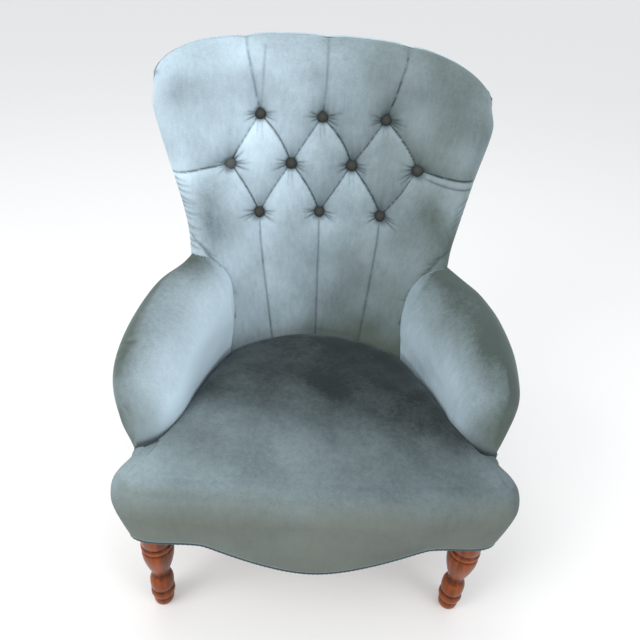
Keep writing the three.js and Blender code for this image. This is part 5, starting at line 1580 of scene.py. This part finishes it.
square = [(0, 0), (1, 0), (1, 1), (0, 1)]
prism = loft([[(x, y, z) for x, y in square] for z in (0, 1)])
print("a square lofted to a prism has", len(prism[1]), "faces")

# %% Cutting


def merged_copy(node):
    """A copy of a CAD solid, free of the frame, with its loose triangles merged."""
    made = frame["nodes"][node].copy()
    made.data = made.data.copy()
    made.name = node + "_copy"
    made.parent = None
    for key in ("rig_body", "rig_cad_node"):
        if key in made:
            del made[key]
    bpy.context.scene.collection.objects.link(made)
    made.hide_render = made.hide_viewport = False
    face_outwards(made, merge=WIDE_MERGE_DISTANCE)
    return made


def cut_away(piece, nodes):
    for node in nodes:
        cutter = merged_copy(node)
        select_only(piece)
        modifier = piece.modifiers.new("cut", "BOOLEAN")
        modifier.operation, modifier.solver, modifier.object = "DIFFERENCE", "EXACT", cutter
        bpy.ops.object.modifier_apply(modifier=modifier.name)
        bpy.data.objects.remove(cutter)


print("cutters are taken from", len(frame["nodes"]), "CAD solids")

# %% Body of an arm
ARM_STEPS, ARM_TAIL_STEPS = 150, 12


def arm_body(name, side):
    """A lofted arm, with a tail that runs through the back to the outside of the chair."""
    contours = []
    first = arm_points(0, side)
    rear = first.copy()
    rear[:, 1] = rear_y(rear[:, 0], rear[:, 2]) - CLOTH_THICKNESS - 3 * TOUCH
    for share in np.linspace(0, 1, ARM_TAIL_STEPS, endpoint=False):
        contours.append(lerp(rear, first, share))
    for t in np.linspace(0, 1, ARM_STEPS + 1):
        contours.append(arm_points(t, side))
    points, faces = loft(contours)
    made = mesh_object(name, to_frame(points), faces)
    face_outwards(made)
    return made


print("an arm is lofted through", ARM_STEPS + 1 + ARM_TAIL_STEPS, "sections")

# %% [markdown]
# The velvet on the arms is slack and handled. Broad soft waves keep the roll from looking
# turned, and a few listed folds run over the outer shoulder and the tip, each a shallow groove.
# The tone is painted light and shade by how each face turns: pale on the inner side, dark along
# the top and outside. The pile is also crushed along the top and at the tip, where hands and
# sleeves rub it, and painted shade lies in the folds and where the arm meets the seat.

# %% Folds of the arms
# Each fold as (start, end, depth, width).
ARM_FOLDS = {
    -1: [
        ((-300, 150, 498), (-346, 168, 462), 2.6, 5.0), ((-310, 138, 492), (-348, 150, 452), 1.6, 4.0),
        ((-318, 84, 412), (-296, 78, 385), 1.6, 5.0),
    ],
    1: [
        ((318, 160, 496), (349, 172, 470), 2.4, 4.5), ((322, 128, 478), (349, 132, 448), 2.2, 4.5),
        ((320, 86, 418), (298, 78, 388), 1.4, 5.0),
    ],
}


def along_segment(points, start, end):
    start, end = np.array(start, float), np.array(end, float)
    d = end - start
    t = np.clip((points - start) @ d / (d @ d), 0, 1)
    return np.linalg.norm(points - start - t[:, None] * d, axis=1), t


def slacken(arm, side):
    """Moves an arm's points along their normals: soft waves out, listed folds in."""
    placed, normal = from_frame(points_of(arm)), normals_of(arm)
    free = ease((placed[:, 2] - 350) / 40)
    swell = (1.6 * soft_waves(placed, 95, 31 + side) + 0.5 * soft_waves(placed, 30, 41 + side)) * free
    groove = np.zeros(len(placed))
    for start, end, depth, width in ARM_FOLDS[side]:
        away, t = along_segment(placed, start, end)
        fade = np.sin(math.pi * np.clip(t + 0.12, 0, 1))
        groove = np.maximum(groove, depth * fade * bump(away, width))
    move_points(arm, to_frame(placed + normal * (swell - groove)[:, None]))


print(sum(len(folds) for folds in ARM_FOLDS.values()), "folds on the two arms")

# %% Tone, painted light and painted shade of the arms
# Of each arm's tone, painted light and shade by how each face turns: its level, how much paler
# the inner side is, how much darker top and outside.
ARM_TONE_AND_SHADE = {-1: (0.88, 0.5, 0.42, 0.65), 1: (0.53, 0.26, 0.34, 0.8)}
ARM_OUTER_SOIL, RIGHT_ARM_SOIL = {-1: 0.35, 1: 0.12}, 0.12


def dress_arm(arm, side):
    placed, normal = from_frame(points_of(arm)), normals_of(arm)
    inward, up = -side * normal[:, 0], np.clip(normal[:, 2], 0, 1)
    level, inner, top, outer = ARM_TONE_AND_SHADE[side]
    # Painted light and shade: paler where the face turns inwards, darker facing up or outwards.
    nap = level + inner * np.clip(inward, 0, 1) - top * up - outer * np.clip(-inward, 0, 1)
    nap = nap + 0.05 * soft_waves(placed, 60, 51 + side)
    tip = ease((110 - placed[:, 1]) / 50)
    # Painted shade where the arm meets the seat, and along each fold.
    crease = 0.5 * (bump(placed[:, 2] - SEAT_EDGE_Z, 7) * (inward > 0.2))
    for start, end, depth, width in ARM_FOLDS[side]:
        away, t = along_segment(placed, start, end)
        line = bump(away, 0.5 * width) * np.clip(1.1 - t, 0, 1)
        crease = np.maximum(crease, 0.22 * depth * line)
    handled = 0.35 * up * ease((placed[:, 1] - 60) / 60) + 0.3 * tip
    outer_soil = ARM_OUTER_SOIL[side] * np.clip(0.3 * up - inward, 0, 1) + 0.14 * up
    soil = 0.06 + outer_soil + 0.45 * tip + RIGHT_ARM_SOIL * (side > 0)
    carry(arm, nap=nap - 0.2 * tip, crease=crease, bruise=handled, soil=soil)


SIDES = {"left": -1, "right": 1}
for name, side in SIDES.items():
    arm = arm_body("arm_cover_" + name, side)
    slacken(arm, side)
    cut_away(arm, ["inside_back", "back_post_" + name])
    smooth(arm, 50)
    dress_arm(arm, side)
    finish_piece(arm, VELVET, ["inside_arm_" + name])

# %% [markdown]
# The outside of the chair is plain cloth, stretched over a thin lining: one panel across the
# back and one under each arm. A panel is fine enough to bulge softly between its tacked edges,
# and small pulls along those edges show where the tacks are.

# %% A tacked panel
RAIL_BOTTOM_Z, OUTSIDE_LOW_HALF = 244, 244
PANEL_COLUMNS, PANEL_ROWS, PANEL_COARSE = 120, 96, 8
TACKS, TACK_PULL = 15, 0.9


def panel_swell(u, v, seed, depth=4.0):
    """How far a tacked panel stands out: a soft bulge, less at the edges, with pulls at the tacks."""
    bulge = depth * (np.clip(4 * u * (1 - u), 0, 1) * np.clip(4 * v * (1 - v), 0, 1)) ** 0.4
    rng = np.random.default_rng(seed)
    pulls = np.zeros(u.shape)
    for k in range(TACKS):
        at = (k + 0.5 + rng.uniform(-0.2, 0.2)) / TACKS
        for edge in (0, 1):
            pulls += np.exp(-(((u - at) / 0.012) ** 2) - np.abs(v - edge) / 0.05)
            pulls += np.exp(-(((v - at) / 0.014) ** 2) - np.abs(u - edge) / 0.04)
    return bulge - TACK_PULL * np.minimum(1, pulls)


print(TACKS, "tacks along each edge of a panel")

# %% Outside back
SHOULDER_IN, SHOULDER_DOWN = 5, 6


def outside_back_point(u, v, inset):
    """The panel across the back, a share across and a share up, this far inside its outer face."""
    side = 2 * u - 1
    level = lerp(RAIL_BOTTOM_Z, CREST_Z, v)
    drop = v**4
    fan_half = fan_half_width(level - (CREST_Z - SHOULDER_Z) * drop) - EDGE_CURL
    shoulder = v**6 * np.abs(side) ** 10
    x = side * (np.maximum(fan_half, OUTSIDE_LOW_HALF) - SHOULDER_IN * shoulder)
    z = level - (CREST_Z - crest_z(x)) * drop - (EDGE_CURL + 2) * v - SHOULDER_DOWN * shoulder
    return settled(np.stack([x, rear_y(x, z) - inset, z], -1))


u, v = np.meshgrid(np.linspace(0, 1, PANEL_COLUMNS + 1), np.linspace(0, 1, PANEL_ROWS + 1))
coarse_u, coarse_v = u[::PANEL_COARSE, ::PANEL_COARSE], v[::PANEL_COARSE, ::PANEL_COARSE]
outer_face = outside_back_point(u, v, 0.8)
outer_face[..., 1] += panel_swell(u, v, 61)
inner_face = outside_back_point(coarse_u, coarse_v, CLOTH_THICKNESS)
points, faces = closed_grid(outer_face, inner_face, PANEL_COARSE)
outside_back = mesh_object("outside_back_cover", to_frame(points), faces)
face_outwards(outside_back)
smooth(outside_back, 40)
placed = from_frame(points_of(outside_back))
low_soil = 0.12 + 0.3 * np.exp(-(placed[:, 2] - RAIL_BOTTOM_Z) / 60)
handled = 0.1 * np.clip(soft_waves(placed, 70, 63), 0, 1)
nap = 0.52 + 0.03 * soft_waves(placed, 90, 62)
carry(outside_back, nap=nap, crease=0.0, bruise=handled, soil=low_soil)
finish_piece(outside_back, VELVET, ["outside_back"])

# %% Lines of the outside arms
ARM_HEM_END, PANEL_LAP = 0.97, 12
SIDE_LINE = [(42, 306), (150, 305), (240, 297), (320, 278), (400, 238)]
side_x = table_curve(SIDE_LINE)


def hem_line(side):
    """The line under the roll where the outside arm is sewn on, from the back to the front."""
    hem = []
    for t in np.linspace(0, ARM_HEM_END, 201):
        s = arm_station(t, side)
        angle = CONTOUR_ANGLES[-1]
        rise = s["outer_rise"] * LOW_OUTER
        a = s["peak"] + math.cos(angle) * (s["half"] - s["peak"]) - CLOTH_THICKNESS
        z = s["top"] - s["outer_rise"] + math.sin(angle) * rise - TUCK
        xy = s["centre"] + a * s["across"]
        hem.append((*xy, z))
    return np.array(hem)


HEM = {side: hem_line(side) for side in (-1, 1)}
print("the hem falls from", round(HEM[1][0, 2]), "to", round(HEM[1][-1, 2]), "mm")

# %% Outside arms
FIRST_COLUMN = 1 / 12  # share of a panel that turns round the corner to the outside back


def outside_arm_point(u, v, inset, side):
    """The panel under an arm, from the rail up to the hem, this far inside its outer face."""
    share = np.clip((u - FIRST_COLUMN) / (1 - FIRST_COLUMN), 0, 1)
    hem = HEM[side]
    top = np.stack([np.interp(share, np.linspace(0, 1, len(hem)), c) for c in hem.T], -1)
    behind = np.clip(1 - u / FIRST_COLUMN, 0, 1)
    ahead = np.clip(1 - (1 - u) / FIRST_COLUMN, 0, 1)
    rear = rear_y(top[..., 0], RAIL_BOTTOM_Z)
    along_rail = lerp(np.minimum(top[..., 1], rear - PANEL_LAP), rear, behind)
    bottom_y = lerp(along_rail, NOSE_BACK_Y + 3 * TOUCH, ahead)
    bottom = np.stack([side_x(bottom_y), bottom_y, np.full(u.shape, float(RAIL_BOTTOM_Z))], -1)
    p = lerp(bottom, top, v[..., None])
    back_y = rear_y(p[..., 0], p[..., 2]) - CLOTH_THICKNESS - TUCK
    p[..., 1] = lerp(p[..., 1], back_y, behind)
    p[..., 0] = side * (p[..., 0] - inset)
    return p


for name, side in SIDES.items():
    outer_face = outside_arm_point(u, v, 0.5, side)
    outer_face[..., 0] += side * panel_swell(u, v, 71 + side, 3.0)
    inner_face = outside_arm_point(coarse_u, coarse_v, CLOTH_THICKNESS, side)
    points, faces = closed_grid(outer_face, inner_face, PANEL_COARSE)
    panel = mesh_object("outside_arm_cover_" + name, to_frame(points), faces)
    face_outwards(panel)
    smooth(panel, 40)
    placed = from_frame(points_of(panel))
    nap = 0.38 + 0.03 * soft_waves(placed, 80, 72 + side) - 0.1 * (side > 0)
    handled = 0.1 * np.clip(soft_waves(placed, 60, 75 + side), 0, 1)
    low_soil = 0.12 + 0.3 * np.exp(-(placed[:, 2] - RAIL_BOTTOM_Z) / 50)
    carry(panel, nap=nap, crease=0.0, bruise=handled, soil=low_soil)
    finish_piece(panel, VELVET, ["outside_arm_" + name])

# %% [markdown]
# Piping is a cord wrapped in the cover's own cloth and sewn into a seam. A thin tube follows the
# front border's lower edge; others are let into the seams round the outside. A tube is swept
# here along a smooth line, with a stitch dimple at every few millimetres.

# %% Sweeping a tube
TUBE_SIDES, STEP_LENGTH, STITCH_STEPS, STITCH_DIMPLE = 12, 2.5, 3, 0.12


def tube(name, line, radius):
    """A closed tube along a line in drawing millimetres, with small stitch dimples."""
    line = np.asarray(line, float)
    steps = np.linalg.norm(np.diff(line, axis=0), axis=1)
    run = np.concatenate([[0], np.cumsum(steps)])
    count = int(run[-1] / STEP_LENGTH)
    even = np.linspace(0, run[-1], count + 1)
    path = np.stack([np.interp(even, run, c) for c in line.T], 1)
    tangent = np.gradient(path, axis=0)
    tangent /= np.linalg.norm(tangent, axis=1, keepdims=True)
    up = np.array([0, 0, 1.0]) - tangent * tangent[:, 2:]
    weak = np.linalg.norm(up, axis=1) < 0.2
    up[weak] = np.array([0, 1.0, 0]) - tangent[weak] * tangent[weak, 1:2]
    up /= np.linalg.norm(up, axis=1, keepdims=True)
    across = np.cross(tangent, up)
    angle = np.linspace(0, 2 * math.pi, TUBE_SIDES, endpoint=False)[None, :, None]
    pinched = radius * (1 - STITCH_DIMPLE * (np.arange(count + 1) % STITCH_STEPS == 0))
    spokes = np.cos(angle) * across[:, None] + np.sin(angle) * up[:, None]
    points, faces = loft(list(path[:, None] + pinched[:, None, None] * spokes))
    made = mesh_object(name, to_frame(points), faces)
    face_outwards(made)
    smooth(made, 60)
    return made


print("a stitch dimple every", STEP_LENGTH * STITCH_STEPS, "mm")

# %% Piping round the back
PIPING_RADIUS, PIPING_INSET, SIDE_POINTS, CREST_POINTS = 5, 5, 90, 120


def outside_back_edge():
    """The edge of the outside back: up one side, over the crest and down the other."""
    rise, over = np.linspace(0, 1, SIDE_POINTS), np.linspace(0, 1, CREST_POINTS)
    return np.concatenate([
        outside_back_point(np.zeros(SIDE_POINTS), rise, PIPING_INSET),
        outside_back_point(over, np.ones(CREST_POINTS), PIPING_INSET)[1:-1],
        outside_back_point(np.ones(SIDE_POINTS), rise[::-1], PIPING_INSET),
    ])


back_piping = tube("back_piping", outside_back_edge(), PIPING_RADIUS)
carry(back_piping, nap=0.7, crease=0.0, bruise=0.0, soil=0.1)
finish_piece(back_piping, VELVET)

# %% Seams in front of the arms, and front piping
WELT_RADIUS, SEAM_RADIUS, SEAM_TOP_GAP, WELT_POINTS = 3, 4, 14, 320
for name, side in SIDES.items():
    s = arm_station(1, side)
    tip_x, tip_y = s["centre"] + s["across"] * s["half"]
    foot_x, foot_y = side_x(NOSE_BACK_Y), NOSE_BACK_Y + 2
    rise = [
        (side * foot_x, foot_y, RAIL_BOTTOM_Z), (side * (foot_x + 1), foot_y, 300),
        (side * (tip_x - 4), tip_y + 1, s["top"] - SEAM_TOP_GAP),
    ]
    seam = tube("arm_seam_" + name, smooth_through(rise, 20), SEAM_RADIUS)
    carry(seam, nap=0.3, crease=0.1, bruise=0.1, soil=0.1)
    finish_piece(seam, PIPING_VELVET)


def lower_edge():
    """The line of the front piping, along the border's lower edge."""
    outer, outward, *_, inset = seat_frame(np.linspace(0, 1, WELT_POINTS + 1))
    xy = outer - outward * (inset + WELT_RADIUS)[:, None]
    z = BORDER_BOTTOM_Z - apron_drop(xy[:, 0]) - WELT_RADIUS - TUCK / 2
    return worn_corner(np.column_stack([xy, z]))


front_piping = tube("front_piping", lower_edge(), WELT_RADIUS)
# The front piping is made dark as a painted shadow line under the border's edge.
carry(front_piping, nap=0.1, crease=0.65, bruise=0.1, soil=0.1)
finish_piece(front_piping, PIPING_VELVET, ["front_welt"])

# %% [markdown]
# The front legs are turned on a lathe from square stock: a ball foot, a bulb, a tapering shaft,
# rings, and the square block that the rails are jointed to. The profile is spun round its axis,
# as the lathe does it, and the block is a cube whose edges are bevelled.

# %% Turned profile and its wear
# The profile from the floor up, as (radius, height).
LEG_PROFILE = [
    (0, 0), (13, 0), (15.5, 1), (17.5, 5), (18.3, 11), (18, 17), (16.8, 21), (16.5, 23), (18.6, 24.4),
    (20.5, 27), (21.5, 31), (21.5, 34), (20.9, 38), (20, 41), (17.8, 43.2), (17.5, 44), (18.4, 45.4),
    (20, 48), (20.8, 53), (21, 58), (20.9, 64), (20.5, 70), (19.2, 75), (17, 79), (14.6, 82), (13.5, 84),
    (13.4, 87), (15, 92), (17.8, 101), (21, 112), (23.8, 123), (26, 134), (27.2, 143), (27.5, 150),
    (27.2, 156), (26.5, 160), (24.8, 162), (24.5, 163), (26.4, 164.4), (27.5, 167), (27.8, 169),
    (27.5, 171), (26.2, 173.6), (24.5, 175), (24.8, 176.6), (26.5, 179), (27, 188), (27, 200),
    (27, 240.5), (0, 240.5),
]
SMOOTHING = 19  # the length in mm over which a profile is averaged, to tell beads from grooves
leg_radius = np.array(LEG_PROFILE[1:-1], float)


def turned_wear(points):
    """Grooves and rubbed beads of a turned leg, from how its radius differs from a smoothed one."""
    heights = np.linspace(0, 241, 242)
    radius = np.interp(heights, leg_radius[:, 1], leg_radius[:, 0])
    kernel = np.ones(SMOOTHING) / SMOOTHING
    smoothed = np.convolve(np.pad(radius, SMOOTHING // 2, mode="edge"), kernel, mode="valid")
    proud = np.interp(points[:, 2], heights, radius - smoothed)
    return np.clip(-proud / 2.2, 0, 1), np.clip(proud / 2.4, 0, 1)


print("a front leg is", 2 * leg_radius[:, 0].max(), "mm thick at most")

# %% Front legs
LEG_BLOCK, LEG_SIDES, BLOCK_GAP, BLOCK_BEVEL = 38, 72, 3, 1.5
for name, side in SIDES.items():
    leg = spun("turned_leg_" + name, LEG_PROFILE, LEG_SIDES)
    leg.data.transform(Matrix.Translation(Vector(to_frame((side * LEG_X, LEG_Y, 0)))))
    middle = to_frame((side * LEG_X, LEG_Y, (RAIL_TOP_Z + RAIL_BOTTOM_Z - BLOCK_GAP) / 2))
    bpy.ops.object.select_all(action="DESELECT")
    bpy.ops.mesh.primitive_cube_add(size=1, location=middle)
    block = bpy.context.object
    block.scale = (LEG_BLOCK * MM, LEG_BLOCK * MM, (RAIL_TOP_Z - RAIL_BOTTOM_Z + BLOCK_GAP) * MM)
    bpy.ops.object.transform_apply(location=True, rotation=True, scale=True)
    bpy.ops.object.mode_set(mode="EDIT")
    bpy.ops.mesh.select_all(action="SELECT")
    bpy.ops.mesh.bevel(offset=BLOCK_BEVEL * MM, segments=2, affect="EDGES")
    bpy.ops.object.mode_set(mode="OBJECT")
    select_only(leg)
    block.select_set(True)
    bpy.ops.object.join()
    smooth(leg, 38)
    placed = from_frame(points_of(leg))
    groove, worn = turned_wear(placed)
    foot_wear = np.exp(-placed[:, 2] / 4)
    # Painted shade on the side of each front leg that faces +x, laid into the groove value.
    painted_shade_side = 0.8 * ease((normals_of(leg)[:, 0] - 0.05) / 0.9)
    carry(leg, groove=np.maximum(groove, painted_shade_side), worn=np.maximum(worn * 0.7, 0.6 * foot_wear))
    finish_piece(leg, TURNED_WOOD, ["front_leg_" + name])

# %% [markdown]
# The back legs are the feet of the two back posts: square stock, raked backwards. Each is a
# merged copy of its CAD solid whose sharp edges are rounded by a bevel modifier, with the bare
# wood rubbed pale at the foot.

# %% Back legs
EDGE_ROUNDING, SHARP_ANGLE = 3, 50
for name in SIDES:
    post = merged_copy("back_post_" + name)
    post.name = "raked_leg_" + name
    select_only(post)
    rounding = post.modifiers.new("rounded", "BEVEL")
    rounding.width, rounding.segments = EDGE_ROUNDING * MM, 3
    rounding.limit_method, rounding.angle_limit = "ANGLE", math.radians(SHARP_ANGLE)
    bpy.ops.object.modifier_apply(modifier=rounding.name)
    smooth(post, 40)
    placed = from_frame(points_of(post))
    carry(post, groove=0.15, worn=0.7 * np.exp(-placed[:, 2] / 8))
    finish_piece(post, TURNED_WOOD, ["back_post_" + name])

# %% [markdown]
# The timber, springs, webbing and linings inside keep their CAD solids, whose shapes are right,
# and each gets the material of what it is.

# %% Inner frame
HIDDEN_MATERIALS = {
    "rail": FRAME_WOOD, "stump": FRAME_WOOD, "block": FRAME_WOOD, "web": JUTE, "hessian": JUTE,
    "dust": DUST_CLOTH, "spring": SPRING_STEEL,
}
for node, shown in frame["nodes"].items():
    if shown.hide_render:
        continue
    kind = next(word for word in HIDDEN_MATERIALS if word in node)
    shown.data.materials.clear()
    shown.data.materials.append(HIDDEN_MATERIALS[kind])
print(sum(not shown.hide_render for shown in frame["nodes"].values()), "CAD nodes show as they are")
